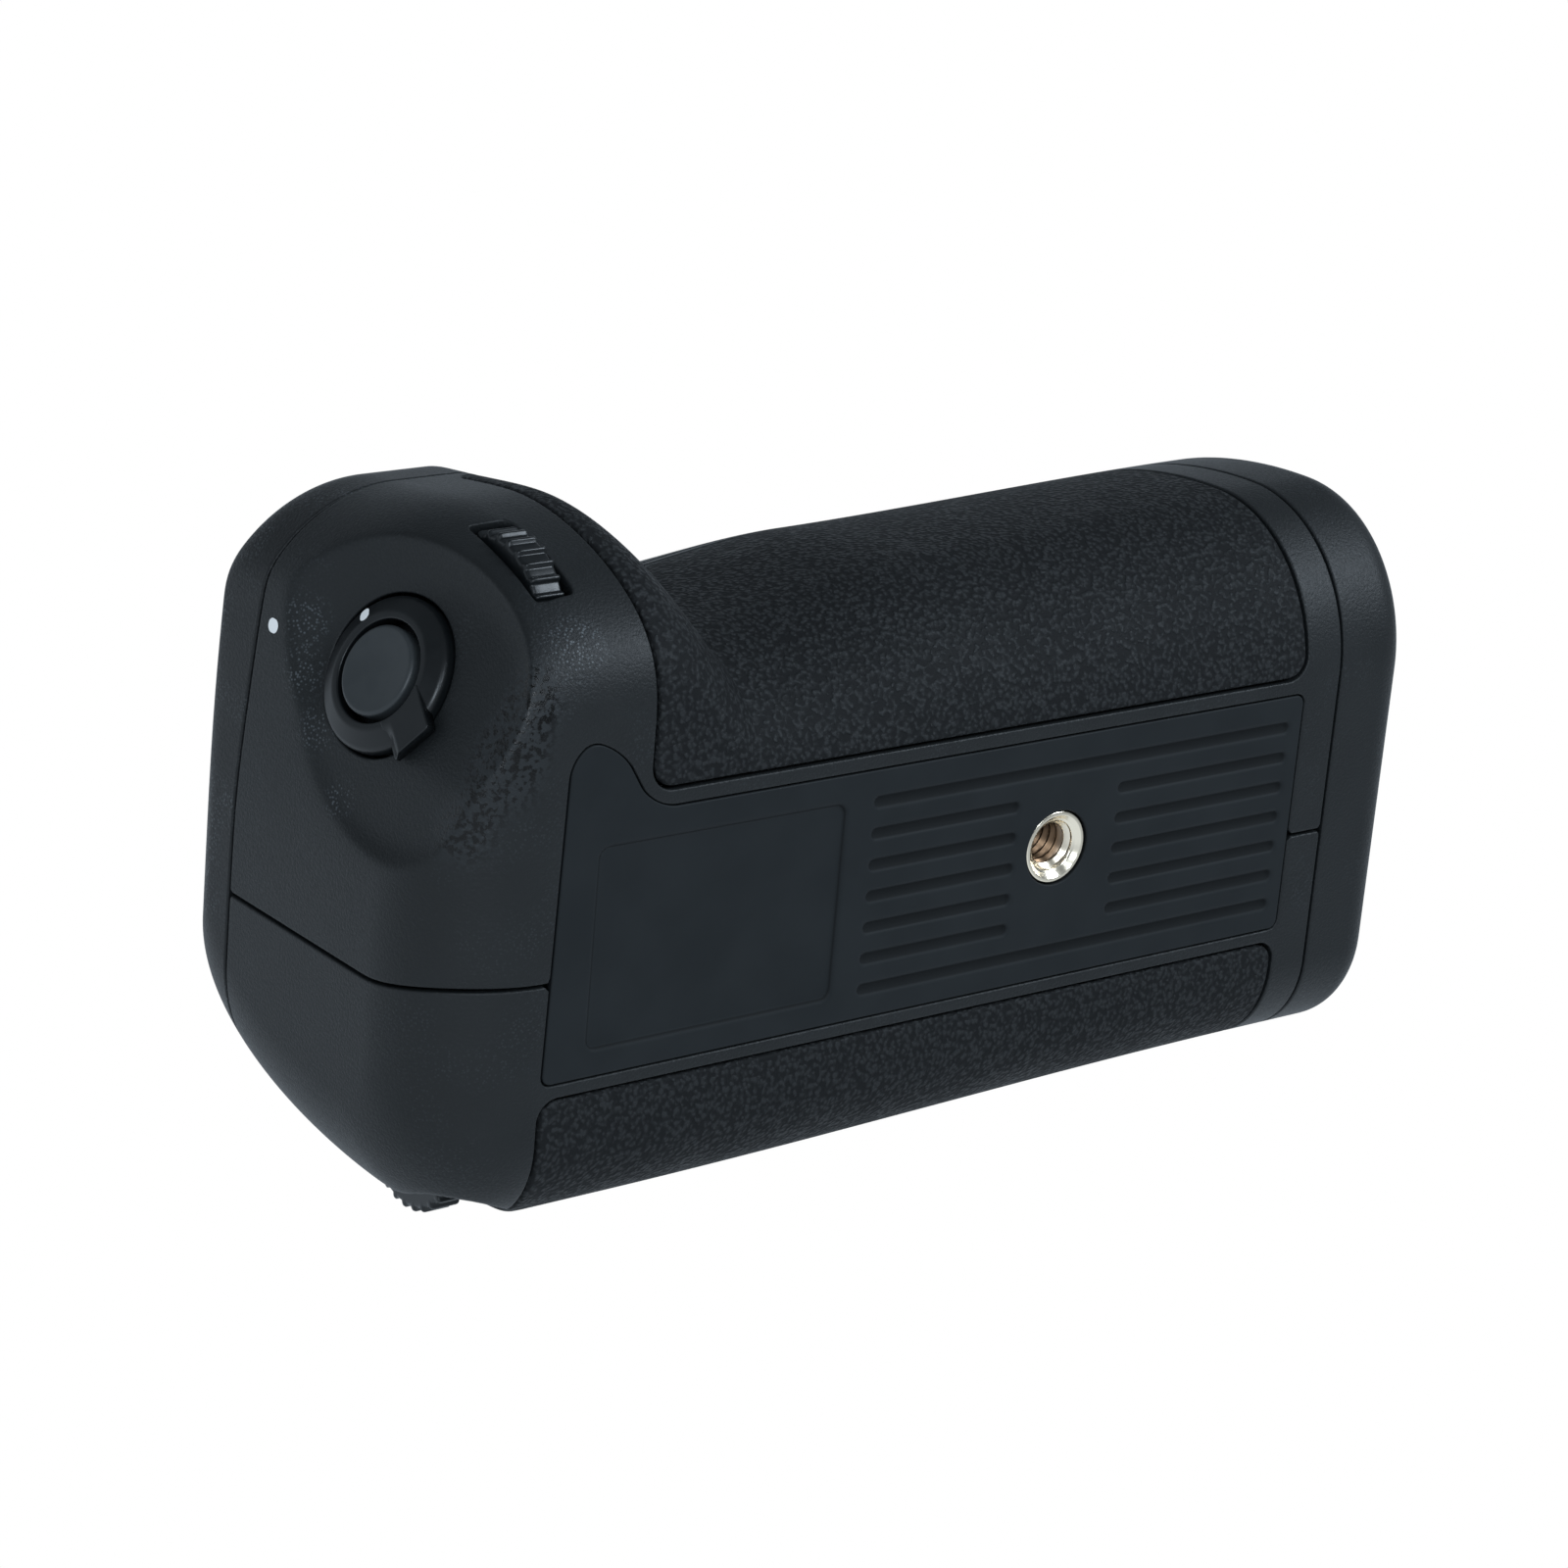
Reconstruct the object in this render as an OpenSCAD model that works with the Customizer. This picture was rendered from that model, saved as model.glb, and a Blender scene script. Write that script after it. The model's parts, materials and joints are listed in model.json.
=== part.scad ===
// Battery grip that screws under a camera: hand grip, vertical release, dials and a slide-out battery tray.
// Origin on the tripod socket's axis in the base plane. +X to the release end, +Y to the front, +Z upwards.

/* [Body] */
// X of the release end face
end_x = 89; // [88:0.5:91]
// X of the tray end face
cap_end_x = -58; // [-62:0.5:-56]
// Height from the base to the camera seat
body_h = 53; // [51:0.5:56]
// Wall of the moulded shells
wall = 2.4; // [2:0.1:2.8]
// Open seam between two shells
seam = 0.3; // [0.2:0.05:0.5]
// Y of the plane where the front and rear shells part
parting_y = -5.4; // [-7.4:0.2:-4]
// Z of the seam under the top cover
cover_z = 44; // [43.6:0.1:45]
// X of the seam at the tray's end cap
cap_x = -45; // [-46:0.25:-44]

/* [Outline] */
// Front of the control lobe
lobe_y = 41.2; // [40.4:0.2:42.4]
// Front of the hand grip at its middle
grip_y = 33.3; // [32.5:0.1:35]
// Extra fullness of the hand grip at the tray end
grip_swell = 2.8; // [0:0.2:4]
// Depth of the finger hollow beside the lobe
finger_hollow = 4.6; // [1:0.2:5]
// Rear face at the tray end
rear_y = -35.2; // [-37:0.2:-34]
// Extra fullness of the rear at the release end
rear_swell = 1.8; // [0:0.2:3]
// Corner radius from the base to the rear
rear_r = 13; // [10:0.5:14]
// How far the rear leans forward up to the seat
rear_lean = 15; // [10:0.5:18]
// Corner radius from the base to the release end
end_base_r = 14.5; // [11:0.5:15]
// Corner radius in plan, front of the release end
end_front_r = 20; // [17:0.5:21]
// Corner radius in plan, rear of the release end
end_rear_r = 15; // [13:0.5:16]
// Edge radius of the tray's end cap
cap_r = 5.8; // [4.6:0.2:6]
// Edge radius of the release end under the seat
top_r = 5; // [3:0.2:6]
// Slant of the release end towards its front
end_slant = 6.5; // [5:0.5:9]
// X where the lobe starts to rise from the hand grip
lobe_x0 = 46.5; // [45:0.5:48]
// X where the lobe has reached its front
lobe_x1 = 60; // [59:0.5:61.5]
// Extra fullness of the lobe under its foremost line
lobe_bulge = 2; // [1:0.2:2.4]

/* [Grips and pad] */
// Thickness of the rubber skins
skin = 1.5; // [1.2:0.1:1.7]
// Tray-side edge of both rubber skins
skin_x0 = -39; // [-41:0.5:-37]
// Lobe-side edge of the front rubber
front_skin_x1 = 61.8; // [61:0.1:62.6]
// Edge of the front rubber on the base
front_skin_y = 16.4; // [15.6:0.2:18]
// Release-side edge of the rear rubber
rear_skin_x1 = 74.4; // [73:0.2:74.6]
// Edge of the rear rubber on the base
rear_skin_y = -18.9; // [-20:0.2:-18]
// Upper edge of the rear rubber
rear_skin_z = 21; // [18:0.5:22.5]
// Thickness of the base pad
pad_t = 1.2; // [1:0.1:1.4]
// Front edge of the base pad
pad_y1 = 14.2; // [13:0.2:14.8]
// Rear edge of the base pad
pad_y0 = -16.9; // [-17.6:0.2:-16]
// Release-side edge of the base pad
pad_x1 = 73.8; // [72:0.2:74.6]
// Number of grooves across the pad
groove_n = 7; // [5:1:8]
// Pitch of the grooves
groove_pitch = 3.92; // [3:0.02:4]
// Width of a groove
groove_w = 1.5; // [1:0.1:1.8]
// Depth of a groove
groove_d = 0.45; // [0.3:0.05:0.8]

/* [Tripod socket and mounting screw] */
// Outer diameter of the socket's flange
socket_d = 9.2; // [8.8:0.1:10]
// Bore of the 1/4-20 thread at its crests
socket_bore_d = 5.1; // [5:0.05:5.3]
// Depth of the threaded wall
socket_depth = 6; // [5:0.25:6.5]
// Diameter of the 1/4 inch mounting screw
stud_d = 6.35; // [6.2:0.05:6.4]
// Free length of the mounting screw above the seat
stud_l = 5.5; // [4.5:0.25:7]
// Distance from the screw to the attachment wheel's axle
wheel_c = 19; // [18.8:0.05:19.4]
// Radius of the attachment wheel
wheel_r = 14.4; // [14:0.1:14.6]
// Teeth of the gear under the wheel
wheel_teeth = 18; // [16:1:19]
// Teeth of the gear on the screw
screw_teeth = 20; // [19:1:22]

/* [Release] */
// Distance of the release's centre from the end face
release_from_end = 7; // [6.6:0.1:7.6]
// Distance of the release's centre from the lobe's front
release_from_front = 15.7; // [15:0.1:16.2]
// Height of the release's centre
release_z = 23.5; // [22.5:0.25:24.5]
// Turn of the release towards the front
release_turn = 27.5; // [25:0.5:30]
// Tilt of the release from straight up
release_tilt = 95.7; // [93:0.1:98]
// Diameter of the release button
button_d = 10.7; // [10:0.1:11.2]
// Height of the button's crown over the dish
button_h = 2.3; // [2:0.1:2.8]
// Full press of the release
button_travel = 1.2; // [0.8:0.1:1.4]
// Outer diameter of the lock ring
ring_d = 18.4; // [17.6:0.1:18.8]
// Bore of the lock ring
ring_bore_d = 12.2; // [12:0.1:12.6]
// Half length of the finger dish's floor
dish_a = 17; // [16:0.5:18]
// Half width of the finger dish's floor
dish_b = 14.7; // [13.7:0.1:15.2]
// Rise of the dish's flank over the half width of its floor
dish_rise = 11; // [9:0.5:13]

/* [Dials and buttons] */
// Distance of the front dial's middle from the end face
front_dial_from_end = 18; // [17.8:0.1:18.6]
// Height of the front dial's axle
front_dial_z = 17.2; // [16.6:0.1:18]
// Distance of the rear dial's middle from the end face
rear_dial_from_end = 10.5; // [10:0.1:11]
// Height of the rear dial's axle
rear_dial_z = 16.8; // [16.2:0.1:18]
// Radius of both dials
dial_r = 9; // [8.6:0.1:9.2]
// Width of both dials
dial_w = 4; // [3.6:0.1:4.4]
// Ribs round a dial
dial_ribs = 28; // [20:1:30]
// How far a dial stands proud of the shell
dial_proud = 1.2; // [0.8:0.1:1.8]
// X of the focus button
focus_x = 58; // [57:0.25:58.5]
// X of the selector
selector_x = 40; // [39:0.5:41]
// Height of the focus button and the selector
thumb_z = 30; // [29:0.5:31]
// Diameter of the focus button
focus_d = 8; // [7:0.1:8.4]
// Diameter of the selector's cap
selector_d = 10.8; // [9.6:0.1:11]

/* [Battery tray] */
// Length of the battery pack
pack_l = 56; // [52:0.5:57]
// Width of the battery pack
pack_w = 39.6; // [38:0.2:40]
// Height of the battery pack
pack_h = 20; // [18:0.5:20.5]
// Wall of the tray
tray_t = 1; // [0.8:0.1:1.2]
// Wall of the battery chamber
liner_t = 1.1; // [0.8:0.1:1.3]
// Clearance of the tray in the chamber
tray_gap = 0.3; // [0.2:0.05:0.35]

/* [Fits] */
// Running clearance of a pin in its bore
run_gap = 0.05; // [0.02:0.01:0.08]
// Clearance round fixed pieces
fit_gap = 0.15; // [0.1:0.05:0.2]

/* [Hidden] */
$fn = 48;
eps = 0.01;
big = 400;
arc_n = 7;
long_step = 8.5;
short_step = 2;
charcoal = [0.13, 0.14, 0.15];
black = [0.08, 0.085, 0.09];
steel = [0.7, 0.7, 0.72];
brass = [0.8, 0.62, 0.3];
board_green = [0.12, 0.3, 0.2];

// Heights of the stacked pieces inside
base_plate_t = 2;
base_plate_plan = [[-22, -20], [22, 14]];
socket_top = 8;
liner_z0 = socket_top + 0.2;
tray_z0 = liner_z0 + liner_t + tray_gap;
pack_z0 = tray_z0 + tray_t;
liner_z1 = pack_z0 + pack_h + tray_gap + liner_t + 0.1;
liner_y = pack_w / 2 + 0.2 + tray_t + tray_gap + liner_t;
tray_y = liner_y - liner_t - tray_gap;
chassis_z0 = liner_z1;
chassis_t = 1.6;
gear_z0 = chassis_z0 + chassis_t + 0.6;
gear_t = 3;
wheel_z0 = gear_z0 + gear_t;
wheel_t = 4;
ceiling_z = body_h - wall;

// Lengths of the tray and its chamber
cap_plate_t = 1.5;
cap_plate_x = cap_x - seam / 2 - cap_plate_t;
tray_x0 = cap_plate_x + cap_plate_t;
pack_x0 = tray_x0 + 4;
tray_x1 = pack_x0 + pack_l + 0.4 + tray_t;
bulkhead_t = 2;
bulkhead_x = cap_x + 0.4;
liner_x1 = tray_x1 + tray_gap + liner_t;

// Terminals in the chamber's inner end
terminal_half = 11;
terminal_z0 = liner_z0 + 3.8;
terminal_z1 = terminal_z0 + 10;
blade_pitch = 4;
blade_half = 0.6;

// Latch beside the chamber
tongue_half = 4.2;
tongue_t = 2;
tongue_w = 3.4;
latch_y = liner_y + tongue_half + 0.6;
latch_z = 21;
key_r = 6;
key_recess = 3.4;
latch_shaft_r = 1.2;

// Gears
gear_module = wheel_c / ((wheel_teeth + screw_teeth) / 2);
wheel_pitch_r = gear_module * wheel_teeth / 2;
screw_pitch_r = gear_module * screw_teeth / 2;

// Outline of the hand grip and of the lobe
grip_nose_z = 19;
lobe_nose_z = 34;
grip_base_y = front_skin_y - 0.4;
lobe_base_y = grip_base_y + 7;
grip_seat_y = 20.4;
lobe_seat_y = lobe_y - 4;
lobe_nose_power = 0.7;
lobe_seat_power = 0.55;
lobe_power = 0.6;
bulge_z = [2, 27, 48];
swell_x = 20;
hollow_x = 13;
rear_swell_x = [-40, 60];

// Slanted release end, dish and thumb scoop
end_slant_y = 6;
dish_c = [6.8, -2.5, 0];
scoop_r = 9;
scoop_ends = [[2, -2.9, -8.8], [0.5, -7.7, 7.2]];
rear_dial_proud = 0.3;

// Release axes
release_c = [end_x - release_from_end, lobe_y - release_from_front, release_z];
ring_base = -0.6;
ring_h = 1.9;

// Screws that hold the cover: two over the chamber, one in each shell
liner_screw_x = -36;
liner_screw_y = 12;
front_screw = [58, 28];
rear_screw = [end_x - 8.5, -12];
screw_points = [[liner_screw_x, liner_screw_y], [liner_screw_x, -liner_screw_y], front_screw, rear_screw];
screw_r = 1;
screw_head_r = 1.9;
post_r = 2.8;
post_z0 = 24;

// Boards
board_t = 1.6;
main_board = [[27, -16], [60, 12]];
main_board_z = 8;
board_post_r = 2.5;
control_board_y = -25.6;
control_board = [[30, 18], [68, 41]];
plug_x = 45;
plug = [22, 9];
plug_h = 5;

// Rubber skins, the ear of the base pad and its label place
front_skin_z = cover_z - 2;
ear_x = pad_x1 - 12.2;
ear_c = [pad_x1 - 4.5, pad_y1 + 5];
ear_r = 4.3;
ear_fillet = 3;
label = [[33.4, -13.8], [68.6, 10.85]];
label_d = 0.4;

// Dials: ears, axles and the places of the axles
front_dial_x = end_x - front_dial_from_end;
rear_dial_x = end_x - rear_dial_from_end;
axle_r = 1;
ear_gap = 0.7;
dial_gap = 0.9;
ear_t = 1.6;
ear_half = 3;
ear_out = dial_w / 2 + ear_gap + ear_t;

// Release: rises above and below the bottom of its dish
ring_recess = 0.8;
sleeve_r = ring_bore_d / 2 + 0.8;
collar_r = sleeve_r + 1;
housing_floor = -wall - 3;
release_stem_r = 1.6;
button_foot = -0.4;
stem_end = housing_floor - 1.2;
lever_w = 5.1;
lever_side = -0.4;
lever_reach = 11.2;
lever_a = -40;

// Mounting screw, wheel, bush and pins
socket_body_r = 4;
screw_shaft_r = 4;
foot_r = 2;
wheel_axle_r = 2;
axle_boss_r = 4;
bush_r = 6;
locating_r = 1.5;
locating_points = [[34, -14], [-26, 9]];
contact_r = 0.5;
pin_points = [for (i = [0 : 4], side = [-1, 1]) [plug_x + (i - 2) * 3.6, side * 1.8]];
seat_pad = [[-41, -16], [29, 17]];
pad_sink = 0.6;
screw_sink = 2;
screw_z0 = cover_z - 8;

// Thumb controls behind the rear face
control_posts = [[50, 20.5], [50, 39], [66, 30]];
control_post_r = 1.8;
board_post_x = [main_board[0].x + 3, main_board[1].x - 3];
focus_travel = 1;
gimbal_r = 5.2;
gimbal_pin_r = 0.8;
stick_r = 1.9;
tongue_x = bulkhead_x + bulkhead_t + 0.4;

// Eased step from 0 at a to 1 at b
function ease(a, b, x) = let (t = max(0, min(1, (x - a) / (b - a)))) t * t * (3 - 2 * t);

// How far a round edge of radius r has drawn in at x, where the face it ends at lies at "limit"
function drawn_in(x, limit, r) =
    let (u = max(0, min(r, x - limit + r))) r - sqrt(max(0, r * r - u * u));

// 1 on the control lobe, 0 on the hand grip
function lobe_at(x) = pow(ease(lobe_x0, lobe_x1, x), lobe_power);
function grip_at(x) =
    grip_y + grip_swell * ease(swell_x, cap_end_x + 3, x) - finger_hollow * ease(hollow_x, lobe_x0 - 1.5, x);
function rear_at(x) = rear_y - rear_swell * ease(rear_swell_x[0], rear_swell_x[1], x);

// Height of the foremost line, front edges of the flat base and seat, and squareness under and over that line
function mix(a, b, t) = a + (b - a) * t;
function nose_height(lobe) = mix(grip_nose_z, lobe_nose_z, lobe);
function base_front_at(lobe) = mix(grip_base_y, lobe_base_y, lobe);
function seat_front_at(lobe) = mix(grip_seat_y, lobe_seat_y, lobe);
function nose_power(lobe) = mix(1, lobe_nose_power, lobe);
function seat_power(lobe) = mix(1, lobe_seat_power, lobe);

// Extra fullness of the lobe's front at height z, greatest at the middle height of bulge_z
function bulge_at(z) =
    lobe_bulge * ease(bulge_z[0], bulge_z[1], z) * (1 - ease(bulge_z[1], bulge_z[2], z));

// Quarter of a superellipse from [c.x + a.x, c.y] to [c.x, c.y + a.y], drawn as "steps" chords
function quarter(c, a, power, steps) =
    [for (i = [0 : steps])
        let (t = 90 * i / steps) c + [a.x * pow(cos(t), power), a.y * pow(sin(t), power)]];

function reversed(list) = [for (i = [len(list) - 1 : -1 : 0]) list[i]];

// Outline of the body at x as [y, z] points, drawn in by d all round: four quarters and two straight runs
function section(x, d) =
    let (
        at_cap = drawn_in(-x, -cap_end_x - d, max(cap_r - d, 0.5)),
        in_base = drawn_in(x, end_x - d, end_base_r - d) + at_cap,
        in_front = drawn_in(x, end_x - d, end_front_r - d) + at_cap,
        in_rear = drawn_in(x, end_x - d, end_rear_r - d) + at_cap,
        in_top = drawn_in(x, end_x - d, max(top_r - d, 0.5)) + at_cap,
        lobe = lobe_at(x),
        nose_y = mix(grip_at(x), lobe_y, lobe) - d - in_front,
        nose_z = nose_height(lobe),
        base_y = base_front_at(lobe) - 0.6 * in_front,
        seat_y = seat_front_at(lobe) - in_front,
        floor_z = d + in_base,
        seat_z = body_h - d - in_top,
        back_y = rear_at(x) + d + in_rear,
        round_r = max(rear_r - 0.6 * in_base, wall + 0.6),
        back_z = in_base + round_r,
        front = concat(
            reversed(quarter([base_y, nose_z], [nose_y - base_y, floor_z - nose_z], nose_power(lobe), arc_n)),
            quarter([seat_y, nose_z], [nose_y - seat_y, seat_z - nose_z], seat_power(lobe), arc_n)
        )
    )
    concat(
        [for (p = front) p + [lobe * bulge_at(p.y), 0]],
        reversed(quarter([back_y + rear_lean, back_z], [-rear_lean, seat_z - back_z], 1, arc_n)),
        quarter([back_y - d + round_r, back_z], [d - round_r, floor_z - back_z], 1, arc_n)
    );

// Surface of the lobe's front and of the rear at height z, where the dials and buttons come through
function lobe_front_y(z) =
    let (nose_z = nose_height(1), u = (nose_z - z) / nose_z, p = nose_power(1), y0 = base_front_at(1))
    y0 + (lobe_y - y0) * pow(1 - pow(u, 2 / p), p / 2) + bulge_at(z);
function rear_face_y(x, z, d = 0) =
    rear_at(x) + d + rear_lean * (1 - sqrt(1 - pow((z - rear_r) / (body_h - d - rear_r), 2)));

// Places that follow the body's surface
front_dial_y = lobe_front_y(front_dial_z) + dial_proud - dial_r;
rear_dial_y = rear_face_y(rear_dial_x, rear_dial_z) - rear_dial_proud + dial_r;
focus_face_y = rear_face_y(focus_x, thumb_z) - 1.2;
focus_foot_y = rear_face_y(focus_x, thumb_z) + wall + 1.4;
selector_face_y = rear_face_y(selector_x, thumb_z) - 1.6;
selector_pivot_y = control_board_y - 4;

// Stations along X, closer together at the round ends and at the lobe's step
function stations(d) =
    let (x0 = cap_end_x + d, x1 = end_x - d)
    concat(
        [for (t = [0 : 22.5 : 67.5]) x0 + cap_r * (1 - cos(t))],
        [for (x = [cap_end_x + cap_r + d : long_step : lobe_x0 - long_step]) x],
        [for (x = [lobe_x0 - 3.5 : short_step : lobe_x1 + 1]) x],
        [lobe_x1 + 4],
        [for (t = [0 : 15 : 90]) x1 - end_front_r * (1 - sin(t))]
    );

// Body between two stations: the hull of its two end outlines
module span_between(x0, x1, d) {
    a = section(x0, d);
    b = section(x1, d);
    n = len(a);
    hull()
        polyhedron(
            points = concat([for (p = a) [x0, p.x, p.y]], [for (p = b) [x1, p.x, p.y]]),
            faces = concat(
                [[for (i = [0 : n - 1]) i]],
                [[for (i = [n - 1 : -1 : 0]) n + i]],
                [for (i = [0 : n - 1]) [(i + 1) % n, i, n + i, n + (i + 1) % n]]
            )
        );
}

// Whole body drawn in by d, with the slanted end and the finger dish taken off
module body(d) {
    xs = stations(d);
    difference() {
        union()
            for (i = [0 : len(xs) - 2])
                span_between(xs[i], xs[i + 1], d);
        dish(d);
        thumb_scoop(d);
        translate([end_x - d, end_slant_y, -eps])
            rotate([0, 0, end_slant])
                cube([30, 60, body_h + 1]);
    }
}

// Finger dish round the release: a flat oval floor with flanks that rise outwards, sunk by d
module dish(d) {
    at_release()
        translate(dish_c)
            hull()
                for (out = [0, 1.5])
                    translate([0, 0, dish_rise * out - d])
                        linear_extrude(eps)
                            scale([dish_a * (1 + out) + d / 2, dish_b * (1 + out) + d / 2])
                                circle(r = 1, $fn = 64);
}

// Hollow in the rear round the rear dial: a leaning rod with round ends, grown by d
module thumb_scoop(d) {
    translate([rear_dial_x, rear_at(rear_dial_x), rear_dial_z])
        hull()
            for (p = scoop_ends)
                translate(p)
                    sphere(r = scoop_r + d, $fn = 40);
}

// Frame of the release: +Z along its axis, out of the body
module at_release() {
    translate(release_c)
        rotate([0, release_tilt, release_turn])
            children();
}

// Box from a low corner to a high corner
module box(low, high) {
    translate(low)
        cube(high - low);
}

module rod_x(x0, x1, r, y, z) {
    translate([x0, y, z])
        rotate([0, 90, 0])
            cylinder(r = r, h = x1 - x0);
}

module rod_y(y0, y1, r, x, z) {
    translate([x, y0, z])
        rotate([-90, 0, 0])
            cylinder(r = r, h = y1 - y0);
}

module rod_z(z0, z1, r, x = 0, y = 0) {
    translate([x, y, z0])
        cylinder(r = r, h = z1 - z0);
}

// Block with upright round corners
module round_block(low, high, r) {
    box([low.x + r, low.y, low.z], [high.x - r, high.y, high.z]);
    box([low.x, low.y + r, low.z], [high.x, high.y - r, high.z]);
    for (x = [low.x + r, high.x - r], y = [low.y + r, high.y - r])
        rod_z(low.z, high.z, r, x, y);
}

// Coil spring along +Z: a wire of radius wire_r wound at radius r
module coil(r, wire_r, turns, length) {
    sides = 6;
    per_turn = 12;
    rings = turns * per_turn;
    function ring_point(i, k) =
        let (a = 360 * i / per_turn, b = 360 * k / sides, rho = r + wire_r * cos(b))
        [rho * cos(a), rho * sin(a), wire_r + (length - 2 * wire_r) * i / rings + wire_r * sin(b)];
    polyhedron(
        points = [for (i = [0 : rings], k = [0 : sides - 1]) ring_point(i, k)],
        faces = concat(
            [for (i = [0 : rings - 1], k = [0 : sides - 1], half = [0, 1])
                let (a = i * sides + k, b = i * sides + (k + 1) % sides)
                half == 0 ? [a, a + sides, b + sides] : [a, b + sides, b]],
            [for (k = [1 : sides - 2]) [0, k, k + 1]],
            [for (k = [1 : sides - 2]) let (e = rings * sides) [e, e + k + 1, e + k]]
        )
    );
}

// Involute gear outline with a tooth on the +X axis
function involute(base_r, t) =
    base_r * [cos(t) + t * PI / 180 * sin(t), sin(t) - t * PI / 180 * cos(t)];
function turned(p, a) = [p.x * cos(a) - p.y * sin(a), p.x * sin(a) + p.y * cos(a)];
function gear_points(teeth, pitch_r, backlash) =
    let (
        m = 2 * pitch_r / teeth,
        base_r = pitch_r * cos(20),
        tip_r = pitch_r + 0.9 * m,
        root_r = pitch_r - 1.2 * m,
        end_t = sqrt(pow(tip_r / base_r, 2) - 1) * 180 / PI,
        start_t = root_r > base_r ? sqrt(pow(root_r / base_r, 2) - 1) * 180 / PI : 0,
        pitch_t = tan(20) * 180 / PI,
        pitch_a = pitch_t - 20,
        half = 90 / teeth - backlash / pitch_r * 90 / PI,
        flank = [for (i = [0 : 4])
            turned(involute(base_r, start_t + (end_t - start_t) * i / 4), -half - pitch_a)],
        root = turned([root_r, 0], -180 / teeth * 0.72)
    )
    [for (k = [0 : teeth - 1]) each [for (p = concat(
        [root], flank, reversed([for (p = flank) [p.x, -p.y]]), [[root.x, -root.y]]
    )) turned(p, 360 * k / teeth)]];

module gear(teeth, pitch_r, thickness) {
    linear_extrude(thickness)
        polygon(gear_points(teeth, pitch_r, 0.12));
}

// Points of an arc round c from angle a0 to a1
function arc(c, r, a0, a1, steps) =
    [for (i = [0 : steps]) let (a = a0 + (a1 - a0) * i / steps) c + r * [cos(a), sin(a)]];

// Outline of the base pad: an oblong with a round ear beside the front rubber; grow widens it all round
function pad_points(grow) =
    let (
        low = [skin_x0 - grow, pad_y0 - grow],
        high = [pad_x1 + grow, pad_y1 + grow],
        r = ear_r + grow,
        corner = [ear_x - grow, high.y],
        to_ear = ear_c - corner,
        slope = atan2(to_ear.y, to_ear.x) + asin(r / norm(to_ear)),
        to_high = high - ear_c,
        first_a = atan2(to_high.y, to_high.x) + acos(r / norm(to_high)),
        hollow_r = ear_fillet - grow,
        hollow_c = corner + [-hollow_r * tan(slope / 2), hollow_r]
    )
    concat(
        [low, [high.x, low.y], high],
        arc(ear_c, r, first_a, slope + 90, 12),
        arc(hollow_c, hollow_r, slope - 90, -90, 4),
        [[low.x, high.y]]
    );

module pad_outline(grow) {
    polygon(pad_points(grow));
}

// Regions that the rubber skins cover; grow widens them all round
module front_region(grow) {
    box([skin_x0 - grow, front_skin_y - grow, -1], [front_skin_x1 + grow, big, front_skin_z + grow]);
}

module rear_region(grow) {
    box([skin_x0 - grow, -big, -1], [rear_skin_x1 + grow, rear_skin_y + grow, rear_skin_z + grow]);
}

module skin_pocket() {
    difference() {
        children();
        body(skin);
    }
}

// Part of the body that the front and rear shells share, hollow
module hollow_body(low_y, high_y) {
    difference() {
        intersection() {
            body(0);
            box([cap_x + seam / 2, low_y, -1], [big, high_y, cover_z - seam / 2]);
        }
        body(wall);
    }
}

// Pocket of the base pad and the hole round the tripod socket
module base_cuts() {
    translate([0, 0, -1])
        linear_extrude(1 + pad_t)
            pad_outline(fit_gap);
    rod_z(-1, wall + 1, socket_d / 2 + 0.6);
}

// Two ears that carry a dial's axle, standing on the shell's floor
module dial_ears(x, y, z) {
    for (side = [-1, 1])
        translate([x + side * (dial_w / 2 + ear_gap + ear_t / 2), y, 0])
            box([-ear_t / 2, -ear_half, 0], [ear_t / 2, ear_half, z + ear_half]);
}

module dial_cuts(x, y, z) {
    half_w = dial_w / 2 + ear_gap - 0.1;
    rod_x(x - half_w, x + half_w, dial_r + dial_gap, y, z);
    rod_x(x - ear_out, x + ear_out, axle_r + run_gap, y, z);
}

// Column for a cover screw, tied to the shell by a rib towards "reach"
module screw_post(at, reach) {
    rod_z(post_z0, cover_z - seam / 2, post_r, at.x, at.y);
    box([min(at.x - 0.9, at.x + reach.x), min(at.y - 0.9, at.y + reach.y), post_z0],
        [max(at.x + 0.9, at.x + reach.x), max(at.y + 0.9, at.y + reach.y), cover_z - seam / 2]);
}

module front_shell() {
    color(charcoal)
        difference() {
            union() {
                hollow_body(parting_y + seam / 2, big);
                intersection() {
                    body(wall / 2);
                    union() {
                        dial_ears(front_dial_x, front_dial_y, front_dial_z);
                        screw_post(front_screw, [0, 20]);
                        for (x = board_post_x)
                            rod_z(0, main_board_z, board_post_r, x, main_board[1].y - 3);
                    }
                }
            }
            skin_pocket()
                front_region(fit_gap);
            base_cuts();
            dial_cuts(front_dial_x, front_dial_y, front_dial_z);
            rod_z(screw_z0, cover_z + 1, screw_r + run_gap, front_screw.x, front_screw.y);
            at_release() {
                rod_z(-wall - 3, 2, collar_r + fit_gap);
                rod_z(-ring_recess, 12, ring_d / 2 + 0.35);
            }
        }
}

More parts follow.
